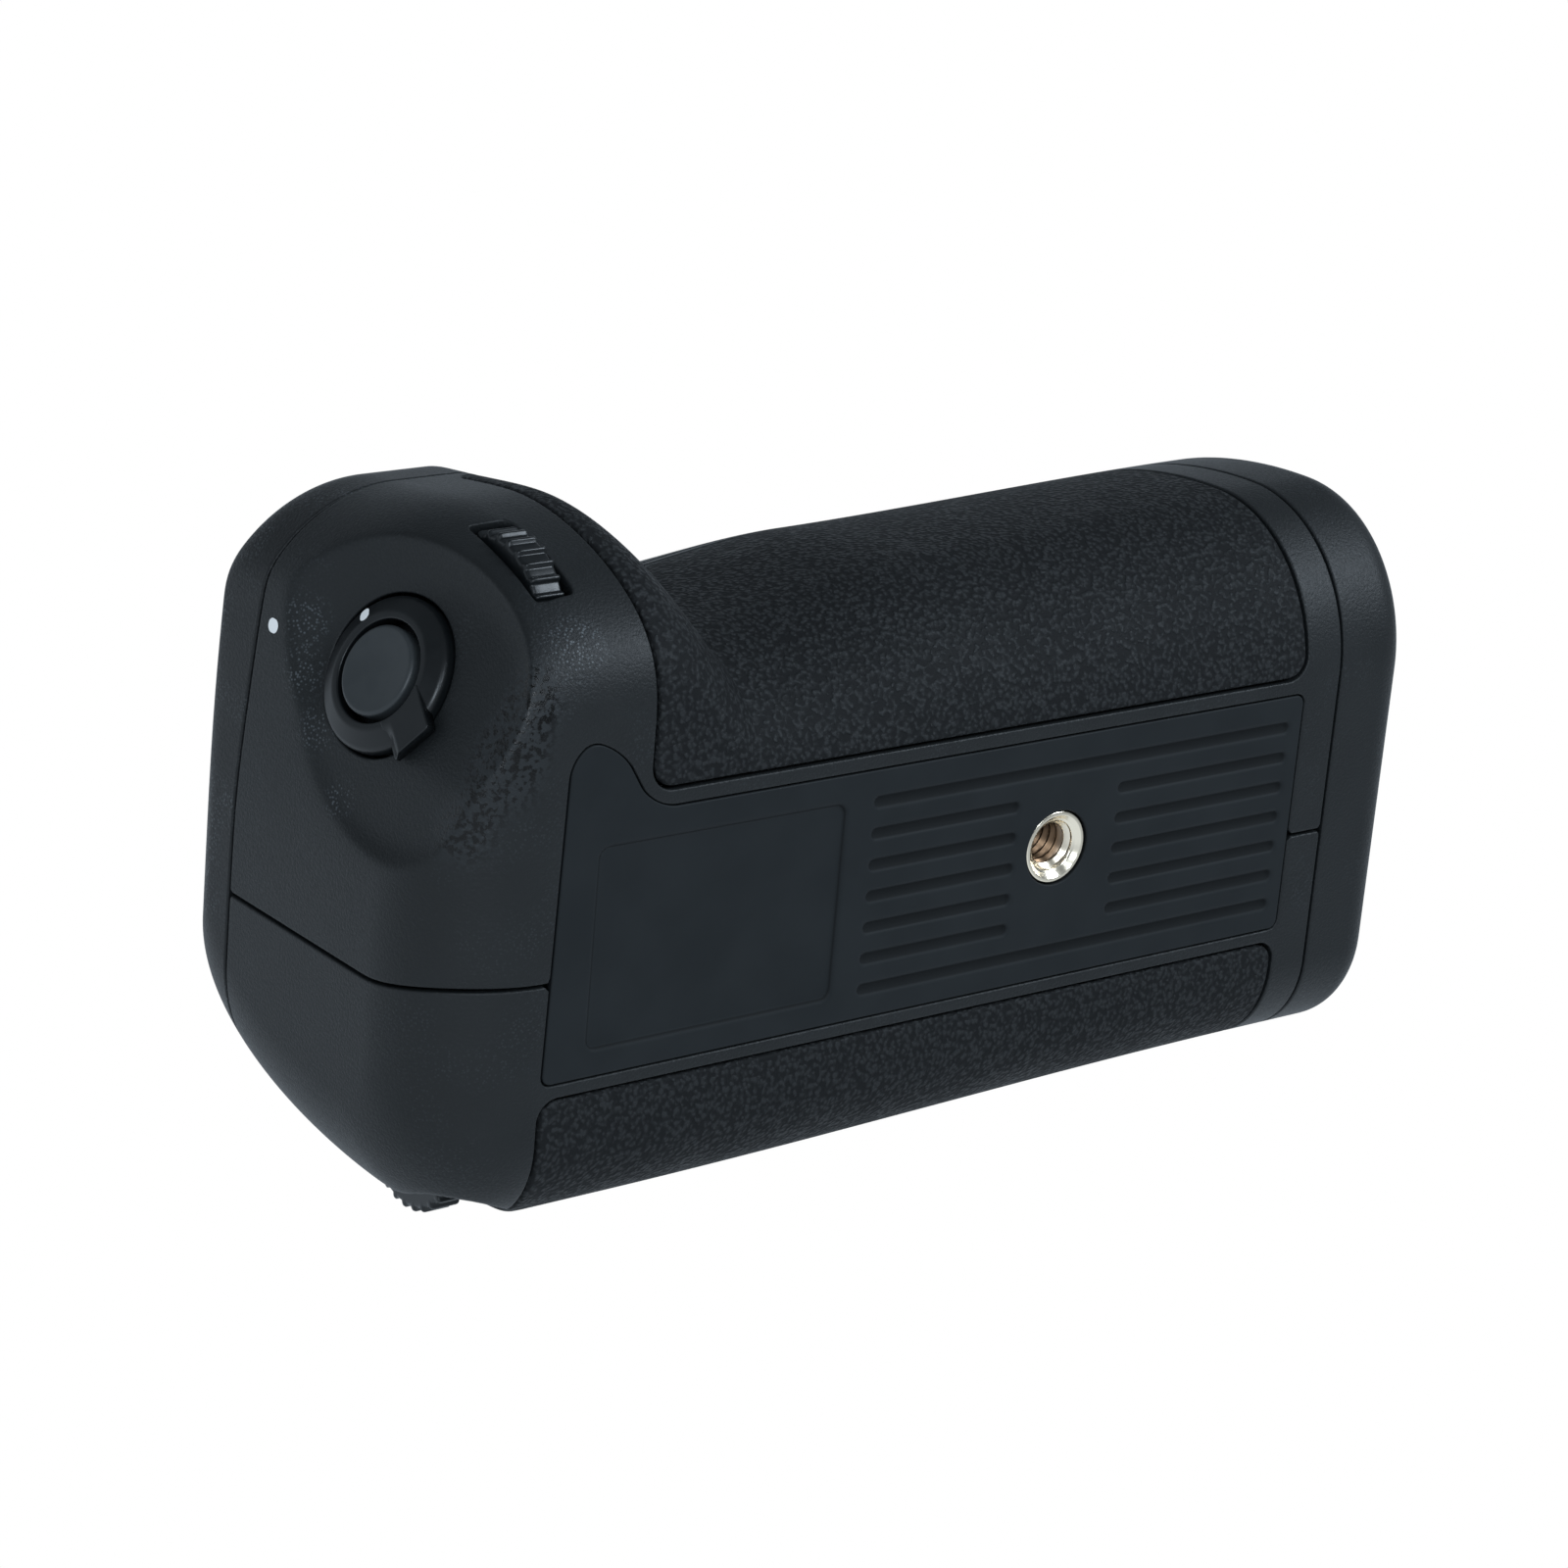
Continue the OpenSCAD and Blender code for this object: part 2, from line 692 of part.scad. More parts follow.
module rear_shell() {
    hole_end_y = control_board_y - 2.4;
    wall_run = rear_face_y(0, wheel_z0 + wheel_t, wall) + wheel_c;
    wheel_half = sqrt(wheel_r * wheel_r - wall_run * wall_run) + 0.5;
    color(charcoal)
        difference() {
            union() {
                hollow_body(-big, parting_y - seam / 2);
                intersection() {
                    body(wall / 2);
                    union() {
                        dial_ears(rear_dial_x, rear_dial_y, rear_dial_z);
                        screw_post(rear_screw, [20, 0]);
                        for (x = board_post_x)
                            rod_z(0, main_board_z, board_post_r, x, main_board[0].y + 3);
                        for (p = control_posts)
                            rod_y(-big, control_board_y, control_post_r, p.x, p.y);
                    }
                }
            }
            skin_pocket()
                rear_region(fit_gap);
            base_cuts();
            dial_cuts(rear_dial_x, rear_dial_y, rear_dial_z);
            rod_z(screw_z0, cover_z + 1, screw_r + run_gap, rear_screw.x, rear_screw.y);
            translate([0, -wheel_c, wheel_z0])
                box([-wheel_half, -big, -0.4], [wheel_half, -wheel_r / 2, wheel_t + 0.4]);
            rod_y(-big, hole_end_y, focus_d / 2 + fit_gap, focus_x, thumb_z);
            rod_y(focus_foot_y - 1.4, hole_end_y, focus_d / 2 + 1.2, focus_x, thumb_z);
            rod_y(-big, hole_end_y, selector_d / 2 + 1.6, selector_x, thumb_z);
        }
}

module top_cover() {
    color(black)
        difference() {
            union() {
                difference() {
                    intersection() {
                        body(0);
                        box([-big, -big, cover_z + seam / 2], [big, big, body_h + 1]);
                    }
                    body(wall);
                }
                intersection() {
                    body(wall / 2);
                    for (p = screw_points)
                        rod_z(cover_z + seam / 2, body_h, post_r, p.x, p.y);
                }
                rod_z(cover_z + seam / 2, body_h - 1, axle_boss_r, 0, -wheel_c);
            }
            for (p = screw_points) {
                rod_z(cover_z - 1, body_h + 1, screw_r + fit_gap, p.x, p.y);
                rod_z(body_h - screw_sink, body_h + 1, screw_head_r + fit_gap, p.x, p.y);
            }
            rod_z(cover_z - 1, ceiling_z, wheel_axle_r + fit_gap, 0, -wheel_c);
            rod_z(cover_z - 1, body_h + 1, bush_r + fit_gap);
            for (p = locating_points)
                rod_z(cover_z, body_h + 1, locating_r + fit_gap, p.x, p.y);
            plug_block(fit_gap, ceiling_z - 1, body_h + 1);
            seat_pad_block(fit_gap, body_h - pad_sink, body_h + 1);
        }
}

module front_grip_rubber() {
    color(black)
        difference() {
            intersection() {
                body(0);
                front_region(0);
            }
            body(skin);
        }
}

module rear_grip_rubber() {
    color(black)
        difference() {
            intersection() {
                body(0);
                rear_region(0);
            }
            body(skin);
        }
}

// Groove with round ends from x0 to x1
module groove(x0, x1, y) {
    translate([0, 0, -1])
        linear_extrude(1 + groove_d) {
            translate([x0 + groove_w / 2, y - groove_w / 2])
                square([x1 - x0 - groove_w, groove_w]);
            for (x = [x0 + groove_w / 2, x1 - groove_w / 2])
                translate([x, y])
                    circle(d = groove_w);
        }
}

module base_pad() {
    first_y = pad_y1 - 4;
    groove_x = [skin_x0 + 2, -socket_d / 2 - 4.4, socket_d / 2 + 2.1, label[0].x - 4];
    color(black)
        difference() {
            linear_extrude(pad_t)
                pad_outline(0);
            rod_z(-1, pad_t + 1, socket_d / 2 + fit_gap);
            round_block([label[0].x, label[0].y, -1], [label[1].x, label[1].y, label_d], 1.5);
            for (i = [0 : groove_n - 1]) {
                y = first_y - i * groove_pitch;
                if (abs(y) > socket_d / 2 + 5.5) {
                    groove(groove_x[0], groove_x[3], y);
                } else {
                    groove(groove_x[0], groove_x[1], y);
                    groove(groove_x[2], groove_x[3], y);
                }
            }
        }
}

// Plan of the seat pad and of the contact plug, grown by g
module seat_pad_block(g, z0, z1) {
    low = seat_pad[0] - [g, g];
    high = seat_pad[1] + [g, g];
    round_block([low.x, low.y, z0], [high.x, high.y, z1], 4);
}

module plug_block(g, z0, z1) {
    half = plug / 2 + [g, g];
    round_block([plug_x - half.x, -half.y, z0], [plug_x + half.x, half.y, z1], 2);
}

module top_seat_pad() {
    color(black)
        difference() {
            seat_pad_block(0, body_h - pad_sink, body_h + 0.3);
            rod_z(0, body_h + 1, bush_r + 1.5);
            for (p = screw_points)
                rod_z(0, body_h + 1, screw_head_r + 0.6, p.x, p.y);
            for (p = locating_points)
                rod_z(0, body_h + 1, locating_r + 0.6, p.x, p.y);
        }
}

module tripod_socket() {
    mouth = 0.5;
    color(steel)
        difference() {
            union() {
                rod_z(0.3, wall, socket_d / 2);
                rod_z(0.3, socket_top, socket_body_r);
            }
            rod_z(0, 0.3 + mouth + socket_depth, socket_bore_d / 2);
            translate([0, 0, 0.3 - eps])
                cylinder(r1 = socket_bore_d / 2 + mouth + 0.6, r2 = socket_bore_d / 2, h = mouth + eps);
        }
}

module base_plate() {
    color(steel)
        difference() {
            box(concat(base_plate_plan[0], wall), concat(base_plate_plan[1], wall + base_plate_t));
            rod_z(0, socket_top, socket_body_r + run_gap);
        }
}

module chamber_liner() {
    color(black)
        difference() {
            union() {
                box([bulkhead_x, -liner_y, liner_z0], [liner_x1, liner_y, liner_z1]);
                for (side = [-1, 1])
                    rod_z(liner_z1 - 0.5, cover_z - seam / 2, post_r, liner_screw_x, side * liner_screw_y);
            }
            box([bulkhead_x - 1, -liner_y + liner_t, liner_z0 + liner_t],
                [liner_x1 - liner_t, liner_y - liner_t, liner_z1 - liner_t]);
            box([liner_x1 - 3, -terminal_half, terminal_z0], [liner_x1 + 1, terminal_half, terminal_z1]);
            for (side = [-1, 1])
                rod_z(screw_z0, cover_z + 1, screw_r + run_gap, liner_screw_x, side * liner_screw_y);
        }
}

module end_bulkhead() {
    slot_half = tongue_half + 0.4;
    slot_w = tongue_w / 2 + 0.3;
    color(black)
        difference() {
            intersection() {
                body(wall + fit_gap);
                box([bulkhead_x, -big, 0], [bulkhead_x + bulkhead_t, big, cover_z - 1]);
            }
            box([bulkhead_x - 1, -liner_y - run_gap, liner_z0 - run_gap],
                [bulkhead_x + bulkhead_t + 1, liner_y + run_gap, liner_z1 + run_gap]);
            box([bulkhead_x - 1, latch_y - slot_w, latch_z - slot_half],
                [bulkhead_x + bulkhead_t + 1, latch_y + slot_w, latch_z + slot_half]);
        }
}

module chassis_plate() {
    color(steel)
        difference() {
            box([-wheel_r, -wheel_c - 3, chassis_z0], [wheel_r, screw_shaft_r * 2, chassis_z0 + chassis_t]);
            rod_z(0, body_h, foot_r + run_gap);
            rod_z(0, body_h, wheel_axle_r, 0, -wheel_c);
        }
}

module mounting_screw() {
    color(steel) {
        rod_z(chassis_z0, chassis_z0 + chassis_t + 1, foot_r);
        rod_z(chassis_z0 + chassis_t + run_gap, body_h - 0.2, screw_shaft_r);
        rod_z(body_h - 1, body_h + stud_l, stud_d / 2);
    }
}

module screw_gear() {
    color(brass)
        translate([0, 0, gear_z0])
            difference() {
                rotate([0, 0, -90 + 180 / screw_teeth])
                    gear(screw_teeth, screw_pitch_r, gear_t);
                rod_z(-1, gear_t + 1, screw_shaft_r);
            }
}

module screw_bush() {
    color(brass)
        difference() {
            union() {
                rod_z(ceiling_z - 4, body_h, bush_r);
                rod_z(ceiling_z - 1.6, ceiling_z, bush_r + 2);
            }
            rod_z(0, body_h + 1, screw_shaft_r + run_gap);
        }
}

// Disc with square teeth all round, bored on its axis
module knurled_disc(r, depth, teeth, thickness, bore) {
    pitch = 360 / teeth;
    difference() {
        linear_extrude(thickness)
            polygon([for (k = [0 : teeth - 1], s = [[-0.34, -depth], [-0.26, 0], [0.26, 0], [0.34, -depth]])
                turned([r + s.y, 0], (k + s.x) * pitch)]);
        rod_z(-1, thickness + 1, bore);
    }
}

module attachment_wheel() {
    color(black)
        translate([0, -wheel_c, wheel_z0])
            knurled_disc(wheel_r, 0.7, 48, wheel_t, wheel_axle_r + run_gap);
}

module wheel_gear() {
    color(brass)
        translate([0, -wheel_c, gear_z0])
            difference() {
                rotate([0, 0, 90])
                    gear(wheel_teeth, wheel_pitch_r, gear_t);
                rod_z(-1, gear_t + 1, wheel_axle_r + run_gap);
            }
}

module wheel_axle() {
    color(steel)
        rod_z(chassis_z0, ceiling_z - 0.1, wheel_axle_r, 0, -wheel_c);
}

module locating_pins() {
    color(steel)
        for (p = locating_points) {
            rod_z(ceiling_z - 1.5, body_h + 2.6, locating_r, p.x, p.y);
            translate([p.x, p.y, body_h + 2.6])
                cylinder(r1 = locating_r, r2 = locating_r - 0.6, h = 0.8);
        }
}

module contact_plug() {
    color(black)
        difference() {
            union() {
                plug_block(0, ceiling_z - 1, body_h + plug_h);
                plug_block(2, ceiling_z - 2.2, ceiling_z - fit_gap);
            }
            for (p = pin_points)
                rod_z(body_h + plug_h - 2.5, body_h + plug_h + 1, contact_r, p.x, p.y);
        }
}

module contact_pins() {
    color(brass)
        for (p = pin_points)
            rod_z(body_h + plug_h - 2.5, body_h + plug_h + 0.6, contact_r, p.x, p.y);
}

module contact_seal() {
    color(black)
        difference() {
            plug_block(1.6, body_h, body_h + 1);
            plug_block(fit_gap, body_h - 1, body_h + 2);
        }
}

module plug_flex() {
    color(brass)
        box([plug_x - 0.15, -plug.y / 2 + 0.5, main_board_z + board_t],
            [plug_x + 0.15, plug.y / 2 - 0.5, ceiling_z - 2.2]);
}

module casing_screws() {
    color(steel)
        for (p = screw_points) {
            rod_z(screw_z0 + 0.5, body_h - screw_sink + 0.2, screw_r, p.x, p.y);
            difference() {
                rod_z(body_h - screw_sink, body_h - 0.4, screw_head_r, p.x, p.y);
                for (a = [0, 90])
                    translate([p.x, p.y, body_h - 1])
                        rotate([0, 0, a])
                            box([-1.2, -0.25, 0], [1.2, 0.25, 1]);
            }
        }
}

module release_button() {
    r = button_d / 2;
    crown = 0.5;
    color(charcoal)
        at_release() {
            rotate_extrude()
                polygon(concat(
                    [[0, button_foot], [r, button_foot], [r, button_h - crown]],
                    [for (t = [15 : 15 : 90]) [r - crown * (1 - cos(t)), button_h - crown * (1 - sin(t))]],
                    [[r * 0.5, button_h - 0.1], [0, button_h - 0.2]]
                ));
            rod_z(stem_end, button_foot + 0.2, release_stem_r);
        }
}

module release_spring() {
    color(steel)
        at_release()
            translate([0, 0, housing_floor + 0.05])
                coil(3, 0.35, 5, button_foot - housing_floor - 0.1);
}

module release_housing() {
    foot = housing_floor - 0.8;
    ledge = -wall - 1;
    top = -ring_recess - 0.1;
    stem = release_stem_r + run_gap;
    guide = sleeve_r + run_gap;
    well = button_d / 2 + 0.1;
    color(black)
        at_release()
            rotate_extrude()
                polygon([
                    [stem, foot], [collar_r - 0.9, foot], [collar_r - 0.9, ledge], [collar_r + 0.5, ledge],
                    [collar_r + 0.5, -wall], [collar_r, -wall], [collar_r, top], [guide, top],
                    [guide, ledge], [well, ledge], [well, housing_floor], [stem, housing_floor]
                ]);
}

module release_switch() {
    top = housing_floor - 0.8;
    rest = stem_end - button_travel - 0.2;
    half = 3.5;
    slot = release_stem_r + 0.6;
    color(black)
        at_release()
            difference() {
                box([-half, -half, rest - 1.6], [half, half, top]);
                box([-slot, -half - 1, rest], [slot, half + 1, top + 1]);
            }
}

module lock_ring() {
    r = ring_d / 2;
    bore = ring_bore_d / 2;
    sleeve_end = -wall - 0.8;
    color(black)
        at_release() {
            rotate_extrude()
                polygon([
                    [bore, sleeve_end], [sleeve_r, sleeve_end], [sleeve_r, ring_base], [r, ring_base],
                    [r, ring_h - 1.1], [r - 0.4, ring_h - 0.7], [r - 1.4, ring_h - 0.25],
                    [bore + 0.4, ring_h], [bore, ring_h - 0.2]
                ]);
            intersection() {
                rod_z(0.4, ring_h + 0.2, lever_reach);
                rotate([0, 0, lever_a])
                    box([bore, lever_side, 0], [lever_reach, lever_side + lever_w, ring_h + 1]);
            }
        }
}

// Dial turned on X: ribs all round, bored for its axle
module dial(x, y, z) {
    translate([x - dial_w / 2, y, z])
        rotate([0, 90, 0])
            knurled_disc(dial_r, 0.55, dial_ribs, dial_w, axle_r + run_gap);
}

module dial_axle(x, y, z) {
    rod_x(x - ear_out, x + ear_out, axle_r, y, z);
}

// Encoder on the tray-side ear of a dial
module dial_encoder(x, y, z) {
    difference() {
        box([x - ear_out - 2.5, y - ear_half, z - ear_half], [x - ear_out, y + ear_half, z + ear_half]);
        rod_x(x - ear_out - 1, x, axle_r + run_gap, y, z);
    }
}

module front_dial() {
    color(black)
        dial(front_dial_x, front_dial_y, front_dial_z);
}

module front_dial_axle() {
    color(steel)
        dial_axle(front_dial_x, front_dial_y, front_dial_z);
}

module front_dial_encoder() {
    color(board_green)
        dial_encoder(front_dial_x, front_dial_y, front_dial_z);
}

module rear_dial() {
    color(black)
        dial(rear_dial_x, rear_dial_y, rear_dial_z);
}

module rear_dial_axle() {
    color(steel)
        dial_axle(rear_dial_x, rear_dial_y, rear_dial_z);
}

module rear_dial_encoder() {
    color(board_green)
        dial_encoder(rear_dial_x, rear_dial_y, rear_dial_z);
}

module focus_button() {
    color(charcoal) {
        rod_y(focus_face_y, focus_foot_y - 0.5, focus_d / 2, focus_x, thumb_z);
        rod_y(focus_foot_y - 1, focus_foot_y, focus_d / 2 + 1, focus_x, thumb_z);
        rod_y(focus_foot_y - 0.5, focus_foot_y + 2, 1.5, focus_x, thumb_z);
    }
}

module focus_spring() {
    color(steel)
        translate([focus_x, focus_foot_y + 0.05, thumb_z])
            rotate([-90, 0, 0])
                coil(3.2, 0.3, 4, control_board_y - focus_foot_y - 0.1);
}

module focus_switch() {
    top = focus_foot_y + 2 + focus_travel + 0.2;
    half = 1.9;
    color(black)
        box([focus_x - half, top, thumb_z - half], [focus_x + half, control_board_y, thumb_z + half]);
}

module selector_stick() {
    half_pin = gimbal_r - 0.1;
    color(charcoal) {
        rod_y(selector_face_y, selector_face_y + 2.2, selector_d / 2, selector_x, thumb_z);
        rod_y(selector_face_y + 2, selector_pivot_y + 1.4, stick_r, selector_x, thumb_z);
        rod_z(thumb_z - half_pin, thumb_z + half_pin, gimbal_pin_r, selector_x, selector_pivot_y);
    }
}

module selector_gimbal() {
    half_pin = gimbal_r + 2;
    half_bore = gimbal_r + 1;
    color(steel)
        difference() {
            union() {
                rod_y(selector_pivot_y - 1, selector_pivot_y + 1, gimbal_r, selector_x, thumb_z);
                rod_x(selector_x - half_pin, selector_x + half_pin, gimbal_pin_r, selector_pivot_y, thumb_z);
            }
            rod_y(selector_pivot_y - 3, selector_pivot_y + 3, gimbal_r - 1.6, selector_x, thumb_z);
            translate([0, 0, thumb_z])
                rod_z(-half_bore, half_bore, gimbal_pin_r + run_gap, selector_x, selector_pivot_y);
        }
}

module selector_base() {
    post_x = gimbal_r + 0.6;
    plate = 7.5;
    color(black)
        difference() {
            union() {
                box([selector_x - plate, control_board_y - 1.2, thumb_z - plate],
                    [selector_x + plate, control_board_y, thumb_z + plate]);
                for (side = [-1, 1])
                    translate([selector_x + side * (post_x + 0.8), 0, thumb_z])
                        box([-0.8, selector_pivot_y - 1.6, -1.6], [0.8, control_board_y - 1, 1.6]);
            }
            rod_x(selector_x - 10, selector_x + 10, gimbal_pin_r + run_gap, selector_pivot_y, thumb_z);
        }
}

module control_circuit() {
    color(board_green)
        box([control_board[0].x, control_board_y, control_board[0].y],
            [control_board[1].x, control_board_y + board_t, control_board[1].y]);
}

module main_circuit() {
    chip = [7, 8, 3];
    color(board_green) {
        box(concat(main_board[0], main_board_z), concat(main_board[1], main_board_z + board_t));
        for (x = [main_board[0].x + 5, main_board[1].x - 10])
            box([x, -chip.y, main_board_z], [x + chip.x, 0, main_board_z + board_t + chip.z]);
    }
}

module terminal_block() {
    gap = 0.2;
    rim = 2;
    color(black) {
        box([liner_x1 - liner_t, -terminal_half + gap, terminal_z0 + gap],
            [liner_x1 + 1, terminal_half - gap, terminal_z1 - gap]);
        box([liner_x1, -terminal_half - rim, terminal_z0 - rim / 2],
            [liner_x1 + 3, terminal_half + rim, terminal_z1 + rim / 2]);
    }
}

module battery_contacts() {
    color(brass)
        for (i = [-2 : 2])
            translate([0, i * blade_pitch, 0])
                box([pack_x0 + pack_l + 0.15, -blade_half, terminal_z0 + 2],
                    [liner_x1 - liner_t, blade_half, terminal_z1 - 2]);
}

module end_cap() {
    color(charcoal)
        difference() {
            union() {
                difference() {
                    intersection() {
                        body(0);
                        box([-big, -big, -1], [cap_x - seam / 2, big, cover_z - seam / 2]);
                    }
                    intersection() {
                        body(wall);
                        box([-big, -big, -1], [big, big, cover_z - seam / 2 - 1.8]);
                    }
                }
                intersection() {
                    body(wall / 2);
                    rod_x(cap_end_x, cap_end_x + key_recess + 2, key_r + 2, latch_y, latch_z);
                }
            }
            rod_x(cap_end_x - 1, cap_end_x + key_recess, key_r + 0.3, latch_y, latch_z);
            rod_x(cap_end_x, cap_x, latch_shaft_r + fit_gap, latch_y, latch_z);
        }
}

module cap_inner_plate() {
    color(black)
        difference() {
            intersection() {
                body(wall + fit_gap);
                box([cap_plate_x, -big, 0], [cap_plate_x + cap_plate_t, big, cover_z - seam / 2 - 2]);
            }
            rod_x(cap_plate_x - 1, cap_x + 1, latch_shaft_r + fit_gap, latch_y, latch_z);
        }
}

module battery_tray() {
    side_h = 14;
    top = tray_z0 + side_h + 1;
    color(charcoal)
        difference() {
            box([tray_x0, -tray_y, tray_z0], [tray_x1, tray_y, tray_z0 + side_h]);
            box([tray_x0 + 2, -tray_y + tray_t, pack_z0], [tray_x1 - tray_t, tray_y - tray_t, top]);
            box([tray_x1 - 3, -terminal_half - 2, terminal_z0 - 0.5], [tray_x1 + 1, terminal_half + 2, top]);
        }
}

module battery_pack() {
    color([0.25, 0.26, 0.28])
        translate([0, 0, pack_z0])
            round_block([pack_x0, -pack_w / 2, 0], [pack_x0 + pack_l, pack_w / 2, pack_h], 2);
}

module latch_key() {
    floor_x = cap_end_x + key_recess - 0.1;
    bar = [key_recess - 1.7, 2.6, 1.8 * key_r];
    color(black)
        union() {
            rod_x(floor_x - 1.6, floor_x, key_r, latch_y, latch_z);
            rod_x(floor_x - 0.5, tongue_x + tongue_t, latch_shaft_r, latch_y, latch_z);
            translate([cap_end_x + 0.1, latch_y - bar.y / 2, latch_z - bar.z / 2])
                cube(bar);
        }
}

module latch_tongue() {
    color(steel)
        difference() {
            box([tongue_x, latch_y - tongue_w / 2, latch_z - tongue_half],
                [tongue_x + tongue_t, latch_y + tongue_w / 2, latch_z + tongue_half]);
            rod_x(tongue_x - 1, tongue_x + tongue_t + 1, latch_shaft_r, latch_y, latch_z);
        }
}

front_shell();
rear_shell();
top_cover();
front_grip_rubber();
rear_grip_rubber();
base_pad();
top_seat_pad();
tripod_socket();
base_plate();
chamber_liner();
end_bulkhead();
chassis_plate();
mounting_screw();
screw_gear();
screw_bush();
attachment_wheel();
wheel_gear();
wheel_axle();
locating_pins();
contact_plug();
contact_pins();
contact_seal();
plug_flex();
casing_screws();
release_button();
release_spring();
release_switch();
release_housing();
lock_ring();
front_dial();
front_dial_axle();
front_dial_encoder();
rear_dial();
rear_dial_axle();
rear_dial_encoder();
focus_button();
focus_spring();
focus_switch();
selector_stick();
selector_gimbal();
selector_base();
control_circuit();
main_circuit();
terminal_block();
battery_contacts();
end_cap();
cap_inner_plate();
battery_tray();
battery_pack();
latch_key();
latch_tongue();
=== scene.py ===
"""Looks of a camera battery grip: moulded skins, rubber grips, base pad, controls and their finishes."""
import json
from math import cos, pi, radians, sin, tau

import bpy
import numpy as np
from mathutils import Matrix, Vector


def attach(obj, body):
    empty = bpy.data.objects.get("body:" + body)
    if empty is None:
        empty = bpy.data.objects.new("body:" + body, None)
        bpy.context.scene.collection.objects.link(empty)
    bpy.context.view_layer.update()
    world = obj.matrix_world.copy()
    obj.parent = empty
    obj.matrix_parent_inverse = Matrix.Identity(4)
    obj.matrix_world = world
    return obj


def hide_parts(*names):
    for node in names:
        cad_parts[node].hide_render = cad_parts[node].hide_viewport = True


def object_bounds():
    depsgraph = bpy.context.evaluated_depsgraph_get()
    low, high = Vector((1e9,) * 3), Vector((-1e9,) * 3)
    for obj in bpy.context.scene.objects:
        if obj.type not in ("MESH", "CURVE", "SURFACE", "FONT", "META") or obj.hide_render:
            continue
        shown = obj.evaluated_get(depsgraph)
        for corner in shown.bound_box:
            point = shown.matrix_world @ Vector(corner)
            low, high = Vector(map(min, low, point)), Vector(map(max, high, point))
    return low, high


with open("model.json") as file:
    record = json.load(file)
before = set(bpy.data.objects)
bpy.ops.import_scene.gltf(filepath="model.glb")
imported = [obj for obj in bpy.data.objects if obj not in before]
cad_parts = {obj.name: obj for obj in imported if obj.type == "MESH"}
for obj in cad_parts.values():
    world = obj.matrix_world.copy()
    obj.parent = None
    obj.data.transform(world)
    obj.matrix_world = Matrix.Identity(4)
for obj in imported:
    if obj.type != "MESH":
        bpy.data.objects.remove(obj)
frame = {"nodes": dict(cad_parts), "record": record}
cad_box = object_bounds()

# Lengths below are in millimetres; MM turns them into metres where a mesh is made
MM = 0.001

# Body: +X to the release end, +Y to the front, +Z to the camera seat
BODY_END = 89.0
CAP_END = -58.0
BODY_TOP = 53.0
END_SLANT = radians(6.5)
END_SLANT_Y = 6.0
SLANT_SOFT = 0.8
GRIP_Y, GRIP_SWELL, FINGER_HOLLOW = 33.3, 2.8, 4.6
SWELL_X, HOLLOW_X, REAR_SWELL_X = (20.0, -55.0), (13.0, 45.0), (-40.0, 60.0)
LOBE_Y = 41.2
LOBE_X = (46.5, 60.0)
LOBE_POWER = 0.6
LOBE_BULGE = 2.0
BULGE_Z = (2.0, 27.0, 48.0)
REAR_Y, REAR_SWELL = -35.2, 1.8
BASE_EDGE_R, FRONT_EDGE_R, REAR_EDGE_R, TOP_EDGE_R, CAP_EDGE_R = 14.5, 20.0, 15.0, 5.0, 5.8
BACK_ROUND = 13.0
BACK_LEAN = 15.0

# Outline of the hand grip and of the lobe: height of the nose, front edges of base and seat, squareness
NOSE_Z = (19.0, 34.0)
BASE_Y = (16.0, 23.0)
SEAT_Y = (20.4, 37.2)
NOSE_POWER = (1.0, 0.7)
SEAT_POWER = (1.0, 0.55)

# Skins: where the mouldings part, and how deep their edges go
PARTING_Y = (-4.6, -6.5)
PARTING_Z = 16.0
COVER_Z = 44.0
CAP_SEAM_X = -45.0
SEAM = 0.2
WALL = 1.8
EDGE_R = 0.25
EDGE_STEPS = 4

# Rubber and pad
RUBBER_X0 = -39.0
RUBBER_TOP = 42.0
RUBBER_THICK = 1.3
RUBBER_EDGE_R = 0.5
FRONT_RUBBER_X1 = 61.8
FRONT_RUBBER_Y = 16.4
REAR_RUBBER_X1 = 74.4
REAR_RUBBER_Y = -18.9
REAR_RUBBER_TOP = 21.0
PAD_X0, PAD_X1 = -39.0, 73.75
PAD_TAPER = 0.03
PAD_Y0, PAD_Y1 = -16.9, 14.2
PAD_EAR_TOP = 23.5
PAD_EAR_R = 4.1
PAD_EAR_FOOT = (61.6, 14.2)
PAD_EAR_RUN = 0.62
PAD_GAP = 0.2
PAD_THICK = 1.1
GROOVE_Y, GROOVE_PITCH, GROOVE_N = 10.2, 3.92, 7
GROOVE_X0, GROOVE_X1 = -37.0, 29.4
GROOVE_W, GROOVE_D = 1.5, 0.45
GROOVE_BREAK = (-9.0, 6.7)
GROOVE_BREAK_Y = 10.1
LABEL_X0, LABEL_X1, LABEL_Y0, LABEL_Y1 = 33.4, 68.6, -13.8, 10.85
LABEL_R, LABEL_D = 1.5, 0.4

# Tripod socket and mounting screw, both with the same thread
SOCKET_HOLE_R = 4.75
FLANGE_R = 4.6
FLANGE_Z0, FLANGE_Z1 = 0.3, 2.4
BORE_R, THREAD_R = 2.55, 3.175
BORE_Z0, BORE_Z1 = 0.8, 6.8
PITCH = 1.27
SCREW_FOOT_Z, SCREW_SHAFT_Z, SCREW_SEAT_Z, SCREW_TOP_Z = 32.1, 33.75, 52.8, 58.5
SCREW_FOOT_R, SCREW_SHAFT_R = 2.0, 4.0

